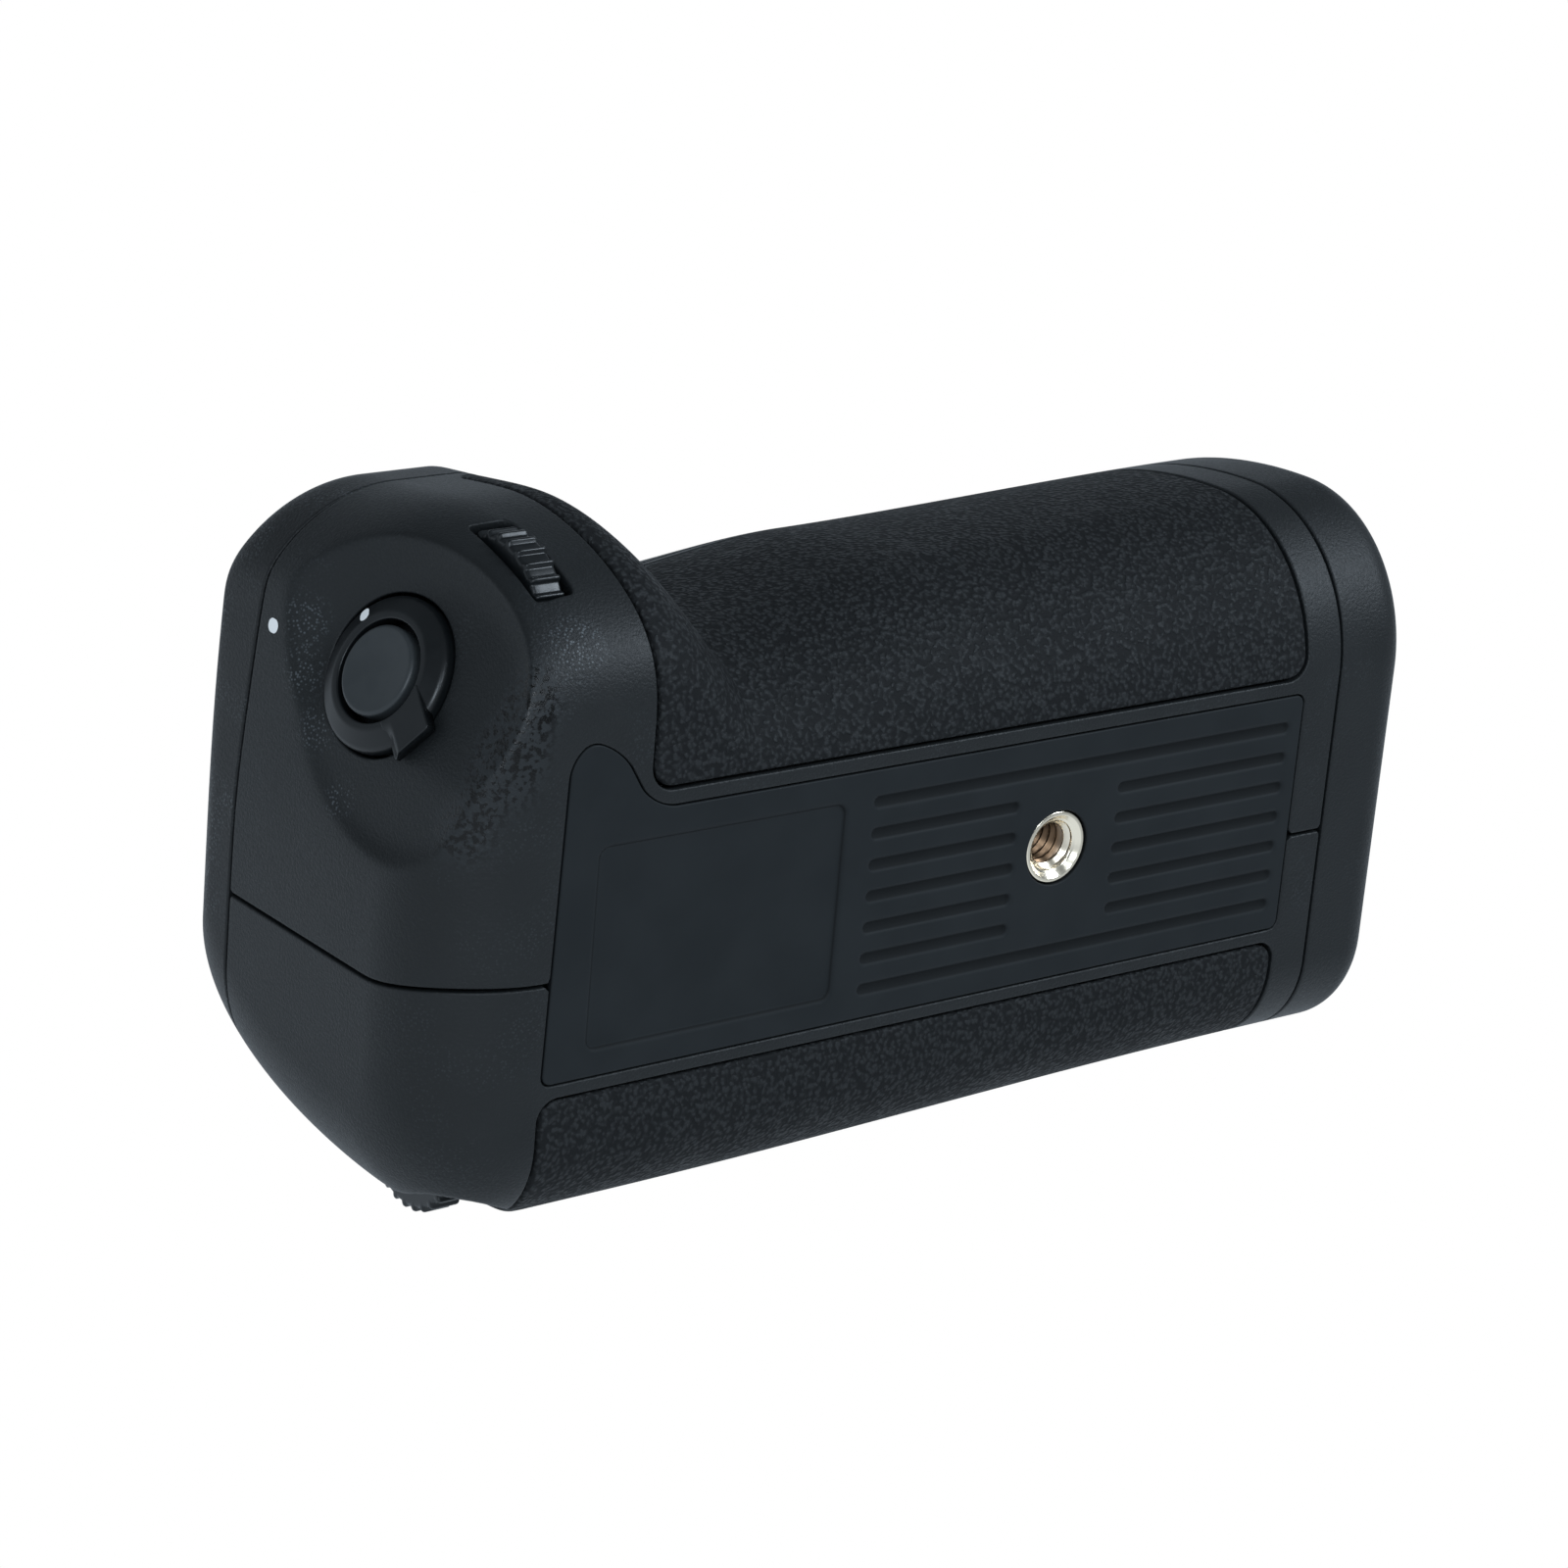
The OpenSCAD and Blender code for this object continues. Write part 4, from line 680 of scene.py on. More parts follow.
def release_button_shape():
    """Round button with a stem, a pocket for its spring, a rounded rim and a shallow dished top."""
    pocket = BUTTON_FOOT + BUTTON_POCKET
    rim = filleted(((0, BUTTON_STEM_END, 0), (BUTTON_STEM_R, BUTTON_STEM_END, 0.2),
                    (BUTTON_STEM_R, pocket, 0), (SPRING_POCKET_R, pocket, 0), (SPRING_POCKET_R, BUTTON_FOOT, 0),
                    (BUTTON_R, BUTTON_FOOT, 0.2), (BUTTON_R, BUTTON_TOP, 0.5), (0, BUTTON_TOP, 0)), 8)
    profile = between_points(rim, 0.4)
    top = profile[:, 1] > BUTTON_TOP - 0.01
    profile[:, 1] -= 0.3 * top * (1 - (profile[:, 0] / (BUTTON_R - 0.5)) ** 2)
    points, triangles = lathe(profile)
    return placed(points, RELEASE_FRAME), triangles


RING_PROFILE = filleted(((RING_R0, -0.6, 0), (RING_R1, -0.6, 0.15), (RING_R1, RING_TOP - 0.9, 0.95),
                         (RING_R0 + 0.9, RING_TOP, 1.2), (RING_R0, RING_TOP, 0.22), (RING_R0, -0.6, 0)), 9)


def lock_ring_shape():
    """Ring round the button, its top sloping outwards."""
    points, triangles = lathe(RING_PROFILE, 144)
    return placed(points, RELEASE_FRAME), triangles


def lever_shape():
    """Lever of the lock ring: a flat tab from the bore outwards, its trailing side bevelled."""
    grid = flat_grid(-1, LEVER_END + 1, LEVER_SIDES[0] - 1, LEVER_SIDES[1] + 1, LEVER_GRID, LEVER_TOP)

    def area(p):
        sides = all_of(LEVER_SIDES[0] - p[:, 1], p[:, 1] - LEVER_SIDES[1])
        end = p[:, 0] - LEVER_END + 0.15 * p[:, 1]
        return all_of(round_both(sides, end, 0.5), RING_R0 + 0.15 - np.hypot(p[:, 0], p[:, 1]))

    points, triangles = skin(grid, area, 0.16, LEVER_TOP - LEVER_FOOT)
    along, across, height = points.T
    lowered = 1.0 * ease(LEVER_SIDES[0] + 1.5, LEVER_SIDES[0] - 0.2, across) * ease(6.5, 9.0, along)
    points[:, 2] -= (lowered + 0.25 * ease(6, 11, along)) * (height - LEVER_FOOT) / (LEVER_TOP - LEVER_FOOT)
    c, s = cos(LEVER_ANGLE), sin(LEVER_ANGLE)
    points[:, :2] = np.stack([along * c - across * s, along * s + across * c], 1)
    return placed(points, RELEASE_FRAME), triangles


def dab(half_u, half_v, height_at, thick=0.05):
    """Oval dab of paint on a surface whose height over the u-v plane is a function."""
    grid = flat_grid(-half_u - 0.1, half_u + 0.1, -half_v - 0.1, half_v + 0.1, PAINT_GRID, 0.0)

    def area(p):
        return round_box(p[:, 0], p[:, 1], -half_u, half_u, -half_v, half_v, min(half_u, half_v) - 0.01)

    points, triangles = skin(grid, area, 0.04, 2 * thick)
    points[:, 2] += height_at(points[:, 0], points[:, 1]) + thick
    return points, triangles


def ring_mark_shape():
    """White mark on the lock ring's slope."""
    r, angle = RING_MARK
    top = RING_PROFILE[RING_PROFILE[:, 1] > 0.3][::-1]

    def slope_height(u, v):
        return np.interp(np.hypot(r + u, v), top[:, 0], top[:, 1])

    points, triangles = dab(0.85, 0.68, slope_height)
    u, v, height = points.T
    c, s = cos(angle), sin(angle)
    points = np.stack([(r + u) * c - v * s, (r + u) * s + v * c, height], 1)
    return placed(points, RELEASE_FRAME), triangles


def body_mark_shape():
    """White mark on the end face, on a quadratic fitted to the body round its place."""
    local = (BODY[0] - RELEASE) @ RELEASE_FRAME[:3, :3]
    u, v, height = (local - (*BODY_MARK, 0)).T
    near = (np.hypot(u, v) < 2.5) & (np.abs(height) < 8)

    def terms(a, b):
        return np.stack([np.ones_like(a), a, b, a * a, a * b, b * b], 1)

    fit = np.linalg.lstsq(terms(u[near], v[near]), height[near], None)[0]
    points, triangles = dab(0.95, 0.8, lambda a, b: terms(a, b) @ fit)
    return placed(points + (*BODY_MARK, 0), RELEASE_FRAME), triangles


def thread_wave(z, a):
    """Thread form, 0 at the crest and 1 at the root: a flattened triangle that climbs a pitch each turn."""
    phase = (z / PITCH - a / tau) % 1
    return np.clip(1.25 * (1 - np.abs(2 * phase - 1)) - 0.12, 0, 1)


def tripod_socket_shape():
    """Flanged socket: a bevelled flange, a short mouth cone and a threaded bore, closed at its blind end."""
    turns = 120
    outer = filleted(((BORE_R, 9.0, 0), (4.2, 9.0, 0.3), (4.2, FLANGE_Z1, 0), (FLANGE_R, FLANGE_Z1, 0.1),
                      (FLANGE_R, FLANGE_Z0, 0.25), (4.05, FLANGE_Z0, 0.12), (3.5, FLANGE_Z0 + 0.5, 0.1),
                      (THREAD_R + 0.05, BORE_Z0 + 0.15, 0)))
    bore_z = np.linspace(BORE_Z0 + 0.2, BORE_Z1, 110)
    bore = np.stack([np.full_like(bore_z, BORE_R), bore_z], 1)
    profile = np.concatenate([((0, 9.0),), outer, bore, ((BORE_R, BORE_Z1 + 0.4), (0, BORE_Z1 + 0.4))])
    threaded = np.concatenate([np.zeros(1 + len(outer)), np.ones(len(bore)), np.zeros(2)])[:, None]
    a = np.arange(turns) * tau / turns
    r, z = profile[:, 0, None], profile[:, 1, None]
    mouth = (THREAD_R - BORE_R) * ease(BORE_Z0 + 1.0, BORE_Z0 + 0.2, z)
    radius = r + threaded * np.maximum((THREAD_R - BORE_R) * thread_wave(z, a), mouth)
    points = np.stack([radius * np.cos(a), radius * np.sin(a), z + 0 * a], -1).reshape(-1, 3)
    return weld(points, grid_triangles(len(profile), turns, True)[:, ::-1])


def mounting_screw_shape():
    """Mounting screw: a foot, a plain shaft and a threaded stud with a chamfered tip."""
    foot = filleted(((0, SCREW_FOOT_Z, 0), (SCREW_FOOT_R, SCREW_FOOT_Z, 0.2),
                     (SCREW_FOOT_R, SCREW_SHAFT_Z, 0), (SCREW_SHAFT_R, SCREW_SHAFT_Z, 0.2),
                     (SCREW_SHAFT_R, SCREW_SEAT_Z, 0.3), (THREAD_R, SCREW_SEAT_Z, 0)))
    stud_z = np.linspace(SCREW_SEAT_Z, SCREW_TOP_Z - 0.6, 90)[1:]
    stud = np.stack([np.full_like(stud_z, THREAD_R), stud_z], 1)
    profile = np.concatenate([foot, stud, ((THREAD_R - 0.6, SCREW_TOP_Z), (0, SCREW_TOP_Z))])
    threaded = np.concatenate([np.zeros(len(foot)), np.ones(len(stud)), np.zeros(2)])[:, None]
    a = np.arange(96) * tau / 96
    r, z = profile[:, 0, None], profile[:, 1, None]
    lead_in = ease(SCREW_SEAT_Z, SCREW_SEAT_Z + 0.5, z)
    radius = r - threaded * (THREAD_R - BORE_R) * thread_wave(z, a) * lead_in
    points = np.stack([radius * np.cos(a), radius * np.sin(a), z + 0 * a], -1).reshape(-1, 3)
    return weld(points, grid_triangles(len(profile), len(a), True))


def together(shapes):
    """Several closed shapes as one mesh."""
    starts = np.cumsum([0] + [len(points) for points, _ in shapes])
    return (np.concatenate([points for points, _ in shapes]),
            np.concatenate([triangles + start for (_, triangles), start in zip(shapes, starts)]))


def pegs(centres, r, foot, top, tip):
    """Round pegs along Z with rounded tips."""
    points, triangles = lathe(filleted(((0, foot, 0), (r, foot, 0), (r, top, tip), (0, top, 0)), 6), 32)
    return together([(points + (x, y, 0), triangles) for x, y in centres])


def focus_button_shape():
    """Focus button: a domed cap on a wider foot, with a stem and a pocket for its spring."""
    tall = FOCUS_FOOT - FOCUS_FACE
    profile = filleted(((0, -FOCUS_STEM, 0), (FOCUS_STEM_R, -FOCUS_STEM, 0.2),
                        (FOCUS_STEM_R, FOCUS_POCKET, 0), (SPRING_POCKET_R, FOCUS_POCKET, 0),
                        (SPRING_POCKET_R, 0, 0), (FOCUS_R + 1, 0, 0.1), (FOCUS_R + 1, 1, 0.1), (FOCUS_R, 1, 0),
                        (FOCUS_R, tall - 0.25, 0.4), (1.5, tall, 4.0), (0, tall, 0)), 8)
    points, triangles = lathe(profile)
    return about_y(points, (FOCUS_X, FOCUS_FOOT, THUMB_Z)), triangles


def selector_shape():
    """Selector: a stem that widens to a cap with a hollow top and a ring of raised dots round its rim."""
    tall = SELECTOR_PIVOT - SELECTOR_FACE
    profile = filleted(((0, -1.4, 0), (1.9, -1.4, 0.3), (1.9, tall - 2.4, 0.4), (SELECTOR_R, tall - 1.9, 0.3),
                        (SELECTOR_R, tall, 0.5), (0, tall, 0)), 6)
    points, triangles = lathe(between_points(profile, 0.25), 160)
    r = np.hypot(points[:, 0], points[:, 1])
    a = np.arctan2(points[:, 1], points[:, 0])
    top = points[:, 2] > tall - 0.02
    dots = ease(0.45, 0.1, np.hypot(r - 3.7, 3.7 * (np.abs((a * 12 / tau + 0.5) % 1 - 0.5) * tau / 12)))
    points[:, 2] += top * (0.2 * dots - 0.7 * ease(4.4, 0.0, r))
    return about_y(points, (SELECTOR_X, SELECTOR_PIVOT, THUMB_Z)), triangles


def seat_pad_shape():
    """Pad on the camera seat: a flat sheet with rounded corners and clearance holes."""
    holes = [((0.0, 0.0), BUSH_HOLE_R)] + [(centre, SCREW_HEAD_R + 0.6) for centre in CASING_SCREWS]
    holes += [(centre, PIN_R + 0.6) for centre in LOCATING_PINS]
    x0, x1, y0, y1 = SEAT_PAD

    def area(p):
        cut = [r - np.hypot(p[:, 0] - x, p[:, 1] - y) for (x, y), r in holes]
        return all_of(round_box(p[:, 0], p[:, 1], x0, x1, y0, y1, 4.0), *cut)

    sheet = flat_grid(x0 - 0.5, x1 + 0.5, y0 - 0.5, y1 + 0.5, SEAT_GRID, SEAT_PAD_TOP)
    return skin(sheet, area, 0.25, SEAT_PAD_THICK)


def plug_block_shape(grow, inner, top, foot, radius, corner):
    """Oblong block along the plug's outline, grown all round, with rounded edges; inner leaves it a frame."""
    x0, x1, y0, y1 = PLUG

    def area(p):
        outer = round_box(p[:, 0], p[:, 1], x0 - grow, x1 + grow, y0 - grow, y1 + grow, corner)
        if inner is None:
            return outer
        return all_of(outer, inner - round_box(p[:, 0], p[:, 1], x0, x1, y0, y1, 2.0))

    edge = grow + 0.6
    sheet = flat_grid(x0 - edge, x1 + edge, y0 - edge, y1 + edge, PLUG_GRID, top)
    return skin(sheet, area, radius, top - foot)


# Finishes: node materials, with arithmetic on sockets written as expressions


class Wire:
    """A shader socket that takes part in Python arithmetic; each operation adds one Math node."""

    def __init__(self, finish, socket):
        self.finish = finish
        self.socket = socket

    def maths(self, operation, first, second):
        return self.finish.node("ShaderNodeMath", {"operation": operation}, {0: first, 1: second})

    def __add__(self, other):
        return self.maths("ADD", self, other)

    def __sub__(self, other):
        return self.maths("SUBTRACT", self, other)

    def __mul__(self, other):
        return self.maths("MULTIPLY", self, other)

    def __rsub__(self, other):
        return self.maths("SUBTRACT", other, self)

    __radd__ = __add__
    __rmul__ = __mul__


class Finish:
    """A material, or the world, as a node tree that is built up by one method."""

    def __init__(self, owner):
        owner.use_nodes = True
        self.owner = owner
        self.tree = owner.node_tree
        self.tree.nodes.clear()

    def node(self, kind, settings, sockets, out=0):
        """Adds a node: first its settings, then its sockets' values or links."""
        made = self.tree.nodes.new(kind)
        for name, value in settings.items():
            setattr(made, name, value)
        for name, value in sockets.items():
            if isinstance(value, Wire):
                self.tree.links.new(value.socket, made.inputs[name])
            else:
                made.inputs[name].default_value = value
        return Wire(self, made.outputs[out]) if made.outputs else made

    def place(self, out="Object"):
        """Object coordinates of the surface."""
        return self.node("ShaderNodeTexCoord", {}, {}, out)

    def noise(self, size, detail=2.0, roughness=0.5, out="Fac"):
        """Cloudy noise with features about size millimetres across."""
        return self.node("ShaderNodeTexNoise", {}, {"Vector": self.place(), "Scale": 1 / (size * MM),
                                                    "Detail": detail, "Roughness": roughness}, out)

    def cells(self, size, feature="F1", where=None):
        """Cell pattern with cells about size millimetres across."""
        return self.node("ShaderNodeTexVoronoi", {"feature": feature}, {
            "Vector": where or self.place(), "Scale": 1 / (size * MM)}, "Distance")

    def between(self, value, low, high):
        """Value mapped from low..high to 0..1 along a smooth step, held outside."""
        return self.node("ShaderNodeMapRange", {"interpolation_type": "SMOOTHSTEP"}, {
            "Value": value, "From Min": low, "From Max": high})

    def within(self, places, floor):
        """1 near any of the places (x, y, z, radius in millimetres), falling to floor beyond their radius."""
        total = floor
        for x, y, z, r in places:
            away = self.node("ShaderNodeVectorMath", {"operation": "DISTANCE"}, {
                0: self.place(), 1: (x * MM, y * MM, z * MM)}, "Value")
            total = total + self.between(away, r * MM, 0.3 * r * MM)
        return self.node("ShaderNodeClamp", {}, {"Value": total})

    def mixed(self, factor, first, second):
        """Colour between two colours."""
        sockets = {"Factor": factor, "A": first, "B": second}
        return self.node("ShaderNodeMix", {"data_type": "RGBA"}, sockets, "Result")

    def bump(self, height, depth):
        """Normal tilted by a height pattern of the given depth in millimetres."""
        return self.node("ShaderNodeBump", {}, {"Height": height, "Distance": depth * MM, "Strength": 1.0})

    def surface(self, **sockets):
        """Ends the tree in a Principled shader; underscores in the names stand for spaces."""
        names = {name.replace("_", " "): value for name, value in sockets.items()}
        shader = self.node("ShaderNodeBsdfPrincipled", {}, names)
        self.node("ShaderNodeOutputMaterial", {}, {"Surface": shader})
        return self.owner


def finish(name):
    """A new, empty material."""
    return Finish(bpy.data.materials.new(name))


def moulded_shell(name, dark, light, patchy, glint_places=(), mottle_places=()):
    """Moulded casing: fine spark-eroded grain and pale specks that come in patches. At some places with a
    radius the pale specks are packed densely as painted highlights; at others the tone is lifted and dark
    glossy specks are set, as painted light and shade."""
    f = finish(name)
    fine = f.noise(0.36, 3.0, 0.6)
    broad = f.noise(14.0, 2.0)
    patch = patchy * f.between(f.noise(9.0, 3.0), 0.45, 0.68)
    speck = f.between(f.cells(0.42), 0.42, 0.16)
    # pale specks: in random patches over the shell, and packed densely at the glint places as painted
    # highlights
    pale = speck * f.within(glint_places, patch)
    # painted light and shade at the mottle places: a lighter patch strewn with dark glossy specks
    painted_mottle = f.within(mottle_places, 0.0)
    painted_shade_speck = f.between(f.noise(0.7, 3.0), 0.46, 0.58) * painted_mottle
    colour = f.mixed(f.between(broad, 0.3, 0.7), dark + (1,), light + (1,))
    # painted light: the patch's tone lifted
    colour = f.mixed(0.6 * painted_mottle, colour, (0.017, 0.020, 0.022, 1))
    colour = f.mixed(pale, colour, SPECK_AND_GLINT_COLOUR + (1,))
    # painted shade: dark specks in the patch
    colour = f.mixed(painted_shade_speck, colour, (0.001, 0.001, 0.001, 1))
    gloss = 0.5 + 0.25 * (fine - 0.5) + 0.1 * (broad - 0.5) - 0.1 * pale - 0.25 * painted_shade_speck
    return f.surface(Base_Color=colour, Roughness=gloss, Normal=f.bump(fine, 0.09), Specular_IOR_Level=0.28)


def grained_rubber(name, dark, light):
    """Leather-grained rubber: small wrinkled pebbles, with painted shade darkening the creases between them and
    the pebble tops painted lighter.
    """
    f = finish(name)
    warp = f.node("ShaderNodeVectorMath", {"operation": "MULTIPLY_ADD"}, {
        0: f.noise(0.8, 2.0, 0.5, out="Color"), 1: (0.0006, 0.0006, 0.0006), 2: f.place()})
    pebble = f.between(f.cells(0.6, "SMOOTH_F1", where=warp), 0.62, 0.1)
    fine = f.noise(0.2, 2.0)
    worn = f.between(f.noise(9.0, 2.0), 0.45, 0.75)
    # painted light and shade: dark in the creases, lighter on the pebble tops
    colour = f.mixed(f.between(pebble + 0.5 * fine, 0.2, 1.2), dark + (1,), light + (1,))
    return f.surface(Base_Color=colour, Roughness=0.72 - 0.16 * pebble - 0.06 * worn,
                     Normal=f.bump(pebble + 0.15 * fine, 0.16), Specular_IOR_Level=0.12)


def smooth_pad(name, dark, light):
    """Smooth elastomer pad: faint mottling and tiny pits, and painted shade down in its grooves, where it is
    also duller.
    """
    f = finish(name)
    fine = f.noise(0.16, 2.0)
    broad = f.noise(11.0, 3.0)
    along, depth = (f.node("ShaderNodeSeparateXYZ", {}, {0: f.place()}, axis) for axis in "XZ")
    grooved = f.between(along, 31.5 * MM, 30.5 * MM)
    step = f.between(depth, 0.4 * MM, 0.32 * MM)
    painted_groove_shade = f.between(depth, 0.06 * MM, 0.3 * MM) * (grooved + step - grooved * step)
    colour = f.mixed(f.between(broad, 0.3, 0.7), dark + (1,), light + (1,))
    # painted shade: the grooves' colour darkened
    colour = f.mixed(0.55 * painted_groove_shade, colour, (0.002, 0.002, 0.002, 1))
    gloss = 0.55 + 0.1 * (fine - 0.5) + 0.1 * (broad - 0.5) + 0.2 * painted_groove_shade
    return f.surface(Base_Color=colour, Roughness=gloss, Normal=f.bump(fine, 0.012), Specular_IOR_Level=0.12)


def satin_control(name, dark, light, roughness=0.34):
    """Satin control: nearly smooth, with fine scuffs that change the gloss."""
    f = finish(name)
    fine = f.noise(0.12, 2.0)
    broad = f.noise(2.5, 3.0)
    colour = f.mixed(f.between(broad, 0.3, 0.7), dark + (1,), light + (1,))
    return f.surface(Base_Color=colour, Roughness=roughness + 0.14 * (broad - 0.5),
                     Normal=f.bump(fine, 0.006), Specular_IOR_Level=0.35)


def metal(name, dark, light, roughness):
    """Plated metal: slight tarnish clouds and turning marks in the gloss."""
    f = finish(name)
    cloud = f.noise(1.2, 3.0)
    fine = f.noise(0.15, 1.0)
    colour = f.mixed(f.between(cloud, 0.3, 0.7), dark + (1,), light + (1,))
    return f.surface(Base_Color=colour, Metallic=1.0, Roughness=roughness + 0.18 * (cloud - 0.5),
                     Normal=f.bump(fine, 0.006))


def bored_metal(name, rim, bore):
    """Plated socket: bright at its rim, dull and brown down in its bore."""
    f = finish(name)
    cloud = f.noise(1.2, 3.0)
    depth = f.node("ShaderNodeSeparateXYZ", {}, {0: f.place()}, "Z")
    deep = f.between(depth, 0.9 * MM, 3.2 * MM) * f.between(depth, 12.0 * MM, 10.0 * MM)
    colour = f.mixed(deep, rim + (1,), bore + (1,))
    return f.surface(Base_Color=colour, Metallic=1.0, Roughness=0.2 + 0.16 * (cloud - 0.5) + 0.12 * deep)


def plain_moulding(name, dark, light, roughness=0.5, grain=0.4, depth=0.02):
    """Inner moulding or board: even colour with soft mottling and a light grain."""
    f = finish(name)
    fine = f.noise(grain, 2.0)
    broad = f.noise(6.0, 2.0)
    colour = f.mixed(f.between(broad, 0.3, 0.7), dark + (1,), light + (1,))
    return f.surface(Base_Color=colour, Roughness=roughness + 0.14 * (fine - 0.5), Normal=f.bump(fine, depth))


# Places on the shells with a radius: painted highlights as dense pale specks round the dish, and beside it a
# lighter patch with dark glossy specks, painted light and shade
PAINTED_GLINT_PLACES = ((84.9, 28.5, 36.6, 4.0), (86.2, 23.0, 35.0, 4.0), (86.7, 17.5, 30.5, 3.6), (87.4, 11.5, 24.0, 3.0),
          (71.5, 33.5, 3.0, 5.0))
PAINTED_MOTTLE_PLACES = ((78.0, 29.5, 2.1, 5.5), (80.0, 25.0, 1.8, 6.5), (81.5, 20.5, 1.8, 7.0), (84.6, 14.0, 4.0, 6.0))
SPECK_AND_GLINT_COLOUR = (0.060, 0.068, 0.074)

FINISHES = {
    "shell": moulded_shell("shell_plastic", (0.0066, 0.0078, 0.0084), (0.0085, 0.0099, 0.0106), 0.18,
                           PAINTED_GLINT_PLACES, PAINTED_MOTTLE_PLACES),
    "cover": moulded_shell("cover_plastic", (0.0058, 0.0067, 0.0072), (0.0074, 0.0084, 0.0090), 0.8),
    "grip_rubber": grained_rubber("grip_rubber", (0.0066, 0.0072, 0.0078), (0.0186, 0.0200, 0.0211)),
    "pad": smooth_pad("pad_elastomer", (0.0112, 0.0132, 0.0145), (0.0138, 0.0160, 0.0174)),
    "nickel": bored_metal("warm_nickel", (0.92, 0.82, 0.66), (0.16, 0.10, 0.06)),
    "steel": metal("bright_steel", (0.46, 0.47, 0.48), (0.60, 0.61, 0.62), 0.3),
    "brass": metal("turned_brass", (0.60, 0.42, 0.16), (0.75, 0.55, 0.24), 0.28),
    "control": satin_control("satin_control", (0.0045, 0.0056, 0.0063), (0.0060, 0.0072, 0.0079)),
    "button": satin_control("button_plastic", (0.026, 0.030, 0.032), (0.030, 0.034, 0.036), 0.4),
    "inner_plastic": plain_moulding("inner_moulding", (0.012, 0.013, 0.014), (0.017, 0.018, 0.019)),
    "board": plain_moulding("circuit_board", (0.010, 0.060, 0.028), (0.016, 0.085, 0.040), 0.4, 0.8, 0.03),
    "flex": plain_moulding("flex_strip", (0.30, 0.14, 0.03), (0.42, 0.21, 0.05), 0.38, 1.0, 0.01),
    "battery": plain_moulding("battery_case", (0.028, 0.029, 0.031), (0.040, 0.041, 0.043), 0.45),
    "ink": plain_moulding("index_paint", (0.93, 0.93, 0.92), (0.97, 0.97, 0.96), 0.5, 0.2, 0.005),
}


def add_piece(name, shape, slot, body, *nodes):
    """Makes a smooth mesh from points in millimetres, rides it on its body and lets it stand for CAD nodes."""
    points, triangles = shape
    mesh = bpy.data.meshes.new(name)
    mesh.vertices.add(len(points))
    mesh.vertices.foreach_set("co", (points * MM).ravel())
    mesh.loops.add(triangles.size)
    mesh.loops.foreach_set("vertex_index", triangles.ravel().astype(np.int32))
    mesh.polygons.add(len(triangles))
    mesh.polygons.foreach_set("loop_start", np.arange(0, triangles.size, 3, dtype=np.int32))
    mesh.update(calc_edges=True)
    mesh.validate()
    mesh.shade_smooth()
    mesh.materials.append(FINISHES[slot])
    piece = bpy.data.objects.new(name, mesh)
    bpy.context.scene.collection.objects.link(piece)
    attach(piece, body)
    if nodes:
        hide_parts(*nodes)
    return piece


# Carried-over CAD nodes take the finish of their slot in the record
for part in frame["record"]["subparts"]:
    frame["nodes"][part["node"]].material_slots[0].material = FINISHES[part["material_slot"]]

BODY = body_surface()
ROOT = "body"

add_piece("front_skin", skin(BODY, front_shell_area, EDGE_R, WALL), "shell", ROOT, "front_shell")
add_piece("rear_skin", skin(BODY, rear_shell_area, EDGE_R, WALL), "shell", ROOT, "rear_shell")
add_piece("cover_skin", skin(BODY, top_cover_area, EDGE_R, WALL), "cover", ROOT, "top_cover")
add_piece("cap_skin", skin(BODY, end_cap_area, EDGE_R, WALL), "shell", "tray", "end_cap")
add_piece("front_rubber", skin(BODY, lambda p: front_rubber(p) + SEAM, RUBBER_EDGE_R, RUBBER_THICK),
          "grip_rubber", ROOT, "front_grip_rubber")
add_piece("rear_rubber", skin(BODY, lambda p: rear_rubber(p) + SEAM, RUBBER_EDGE_R, RUBBER_THICK),
          "grip_rubber", ROOT, "rear_grip_rubber")
add_piece("pad_skin", base_pad_skin(), "pad", ROOT, "base_pad")
add_piece("body_mark", body_mark_shape(), "ink", ROOT)
add_piece("socket_turned", tripod_socket_shape(), "nickel", ROOT, "tripod_socket")
add_piece("release_cap", release_button_shape(), "button", "release", "release_button")
add_piece("lock_collar", lock_ring_shape(), "control", "lock", "lock_ring")
add_piece("lock_lever", lever_shape(), "control", "lock")
add_piece("ring_mark", ring_mark_shape(), "ink", "lock")
add_piece("front_dial_ribbed", dial(FRONT_DIAL), "control", "front_dial", "front_dial")
add_piece("rear_dial_ribbed", dial(REAR_DIAL), "control", "rear_dial", "rear_dial")
add_piece("wheel_knurled", attachment_wheel_shape(), "control", "wheel", "attachment_wheel")
add_piece("focus_cap", focus_button_shape(), "control", "focus", "focus_button")
add_piece("selector_cap", selector_shape(), "control", "selector", "selector_stick")
add_piece("seat_pad_skin", seat_pad_shape(), "grip_rubber", ROOT, "top_seat_pad")
add_piece("stud_threaded", mounting_screw_shape(), "steel", "screw", "mounting_screw")
add_piece("pins_turned", pegs(LOCATING_PINS, PIN_R, PIN_FOOT, PIN_TOP, 0.9), "nickel", ROOT, "locating_pins")
add_piece("plug_block", plug_block_shape(0, None, PLUG_TOP, PLUG_FOOT, 0.5, 2.0), "inner_plastic",
          ROOT, "contact_plug")
add_piece("plug_seal", plug_block_shape(1.6, 0.15, BODY_TOP + 1, BODY_TOP, 0.3, 3.0), "grip_rubber",
          ROOT, "contact_seal")
add_piece("contacts_domed", pegs(CONTACTS, CONTACT_R, PLUG_TOP - 2.5, PLUG_TOP + 0.6, 0.45), "brass",
          ROOT, "contact_pins")


# Stage: floor, light and camera

FLOOR_HALF = 3.0
FLOOR_DROP = 0.0004
LIGHT_TINT = (0.86, 0.98, 1.10)
BRIGHT_SIDE = (0.3, -0.95, 0.1)
BACKDROP = (-0.598, -0.3283, 0.7312)


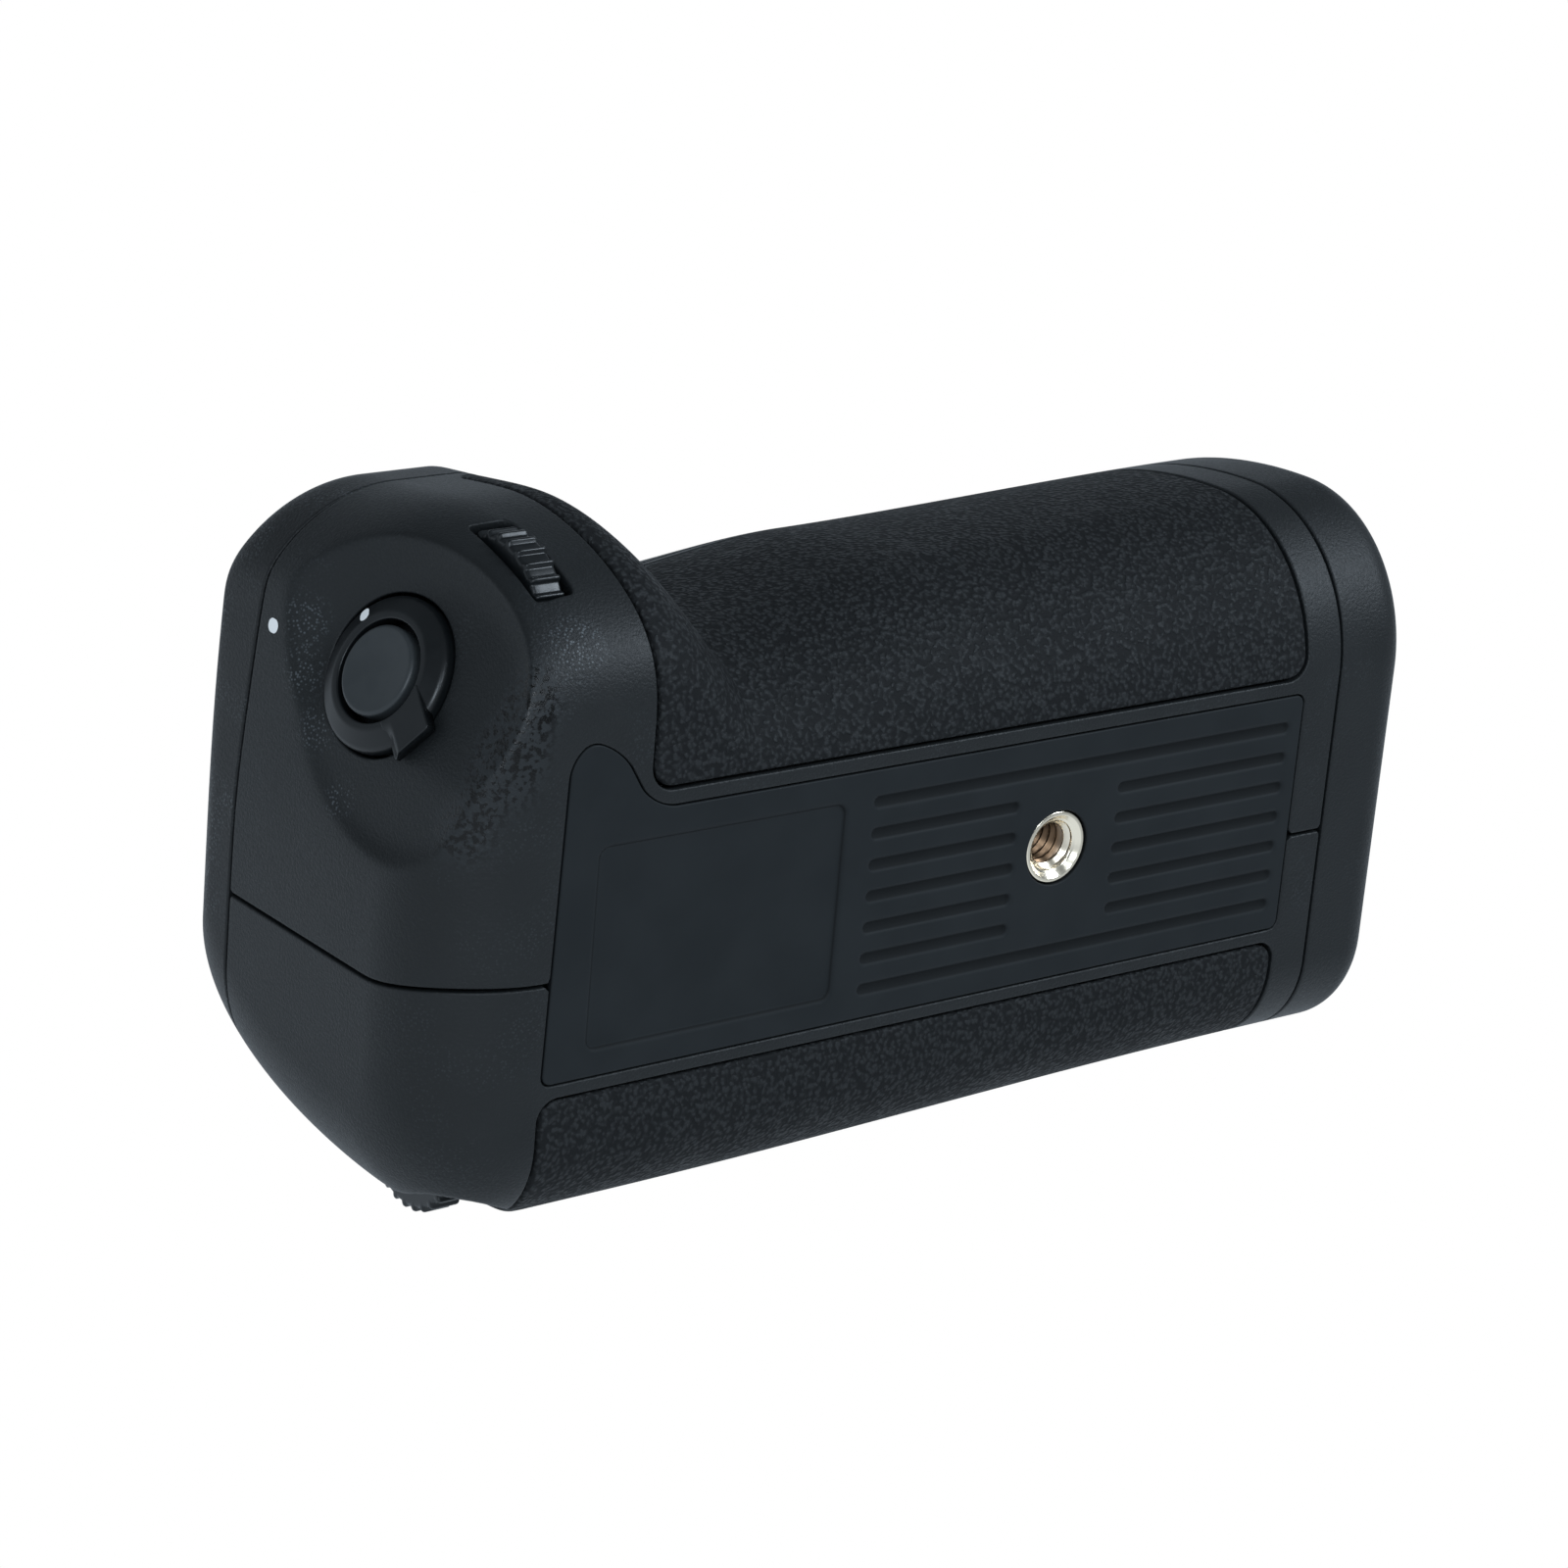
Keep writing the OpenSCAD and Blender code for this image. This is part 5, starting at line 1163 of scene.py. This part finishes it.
def add_floor():
    """Pale floor just under the part. It shows its upper side alone and lets every other ray through, so that
    the camera below it sees the base in the same light."""
    mesh = bpy.data.meshes.new("floor")
    half = FLOOR_HALF
    corners = [(x, y, -FLOOR_DROP) for x, y in ((-half, -half), (half, -half), (half, half), (-half, half))]
    mesh.from_pydata(corners, [], [(0, 1, 2, 3)])
    f = finish("pale_floor")
    path = f.node("ShaderNodeLightPath", {}, {}, "Is Camera Ray")
    back = f.node("ShaderNodeNewGeometry", {}, {}, "Backfacing")
    seen = path * (1 - back)
    pale = f.mixed(f.noise(400.0), (0.80, 0.80, 0.80, 1), (0.84, 0.84, 0.84, 1))
    top = f.node("ShaderNodeBsdfDiffuse", {}, {"Color": pale})
    clear = f.node("ShaderNodeBsdfTransparent", {}, {})
    shown = f.node("ShaderNodeMixShader", {}, {0: seen, 1: clear, 2: top})
    f.node("ShaderNodeOutputMaterial", {}, {"Surface": shown})
    mesh.materials.append(f.owner)
    floor = bpy.data.objects.new("floor", mesh)
    bpy.context.scene.collection.objects.link(floor)


def light_world(level, dim, bright):
    """Studio light: white to the camera and through glass, an even level for soft light, and for mirrored
    light a level that rises from dim to bright towards one side and towards the backdrop."""
    world = bpy.data.worlds.new("studio")
    bpy.context.scene.world = world
    f = Finish(world)
    camera, glossy, through = (f.node("ShaderNodeLightPath", {}, {}, name) for name in (
        "Is Camera Ray", "Is Glossy Ray", "Is Transmission Ray"))
    white = f.node("ShaderNodeClamp", {}, {"Value": camera + through})
    side, behind = (f.node("ShaderNodeVectorMath", {"operation": "DOT_PRODUCT"}, {
        0: f.place("Generated"), 1: way}, "Value") for way in (BRIGHT_SIDE, BACKDROP))
    lit = f.node("ShaderNodeClamp", {}, {"Value": f.between(side, -0.4, 0.5) + f.between(behind, 0.68, 0.98)})
    mirrored = dim + (bright - dim) * lit
    strength = level + (1 - level) * white + (mirrored - level) * glossy * (1 - white)
    tint = f.mixed(white, LIGHT_TINT + (1,), (1, 1, 1, 1))
    sky = f.node("ShaderNodeBackground", {}, {"Color": tint, "Strength": strength})
    f.node("ShaderNodeOutputWorld", {}, {"Surface": sky})


def add_lamp(name, place, target, size, power):
    """Soft square lamp at a place, in metres, turned to a target."""
    lamp = bpy.data.lights.new(name, "AREA")
    lamp.shape = "SQUARE"
    lamp.size = size
    lamp.energy = power
    lamp.color = LIGHT_TINT
    made = bpy.data.objects.new(name, lamp)
    away = np.array(place) - np.array(target)
    z = away / np.linalg.norm(away)
    x = np.cross((0, 0, 1.0), z)
    x = x / np.linalg.norm(x)
    matrix = np.eye(4)
    matrix[:3, :3] = np.stack([x, np.cross(z, x), z], 1)
    matrix[:3, 3] = place
    made.matrix_world = Matrix(matrix.tolist())
    made.visible_camera = False
    bpy.context.scene.collection.objects.link(made)


# Camera of the photograph: its place and axes in the part's frame, and its lens on a 36 mm wide sensor
CAMERA_PLACE = (352.2, 184.2, -377.8)
CAMERA_RIGHT = (-0.7893, 0.0825, -0.6085)
CAMERA_UP = (-0.1394, 0.941, 0.3084)
CAMERA_BACK = (0.598, 0.3283, -0.7312)
CAMERA_LENS = 104.34


def add_camera():
    """Camera at the photograph's viewing angle."""
    data = bpy.data.cameras.new("camera")
    data.lens = CAMERA_LENS
    data.sensor_width = 36.0
    data.sensor_fit = "HORIZONTAL"
    made = bpy.data.objects.new("camera", data)
    matrix = np.eye(4)
    matrix[:3, :3] = np.stack([CAMERA_RIGHT, CAMERA_UP, CAMERA_BACK], 1)
    matrix[:3, 3] = np.array(CAMERA_PLACE) * MM
    made.matrix_world = Matrix(matrix.tolist())
    bpy.context.scene.collection.objects.link(made)
    bpy.context.scene.camera = made


add_floor()
light_world(0.45, 0.2, 0.86)
middle = tuple((np.array(cad_box[0]) + np.array(cad_box[1])) / 2)
add_lamp("key", (-0.72, 0.73, -0.62), middle, 0.4, 9.0)
add_lamp("front", (0.72, 0.42, -0.85), middle, 0.35, 5.0)
add_lamp("side", (0.16, 0.61, -1.01), middle, 0.25, 2.0)
add_camera()
bpy.context.scene.view_settings.view_transform = "Standard"
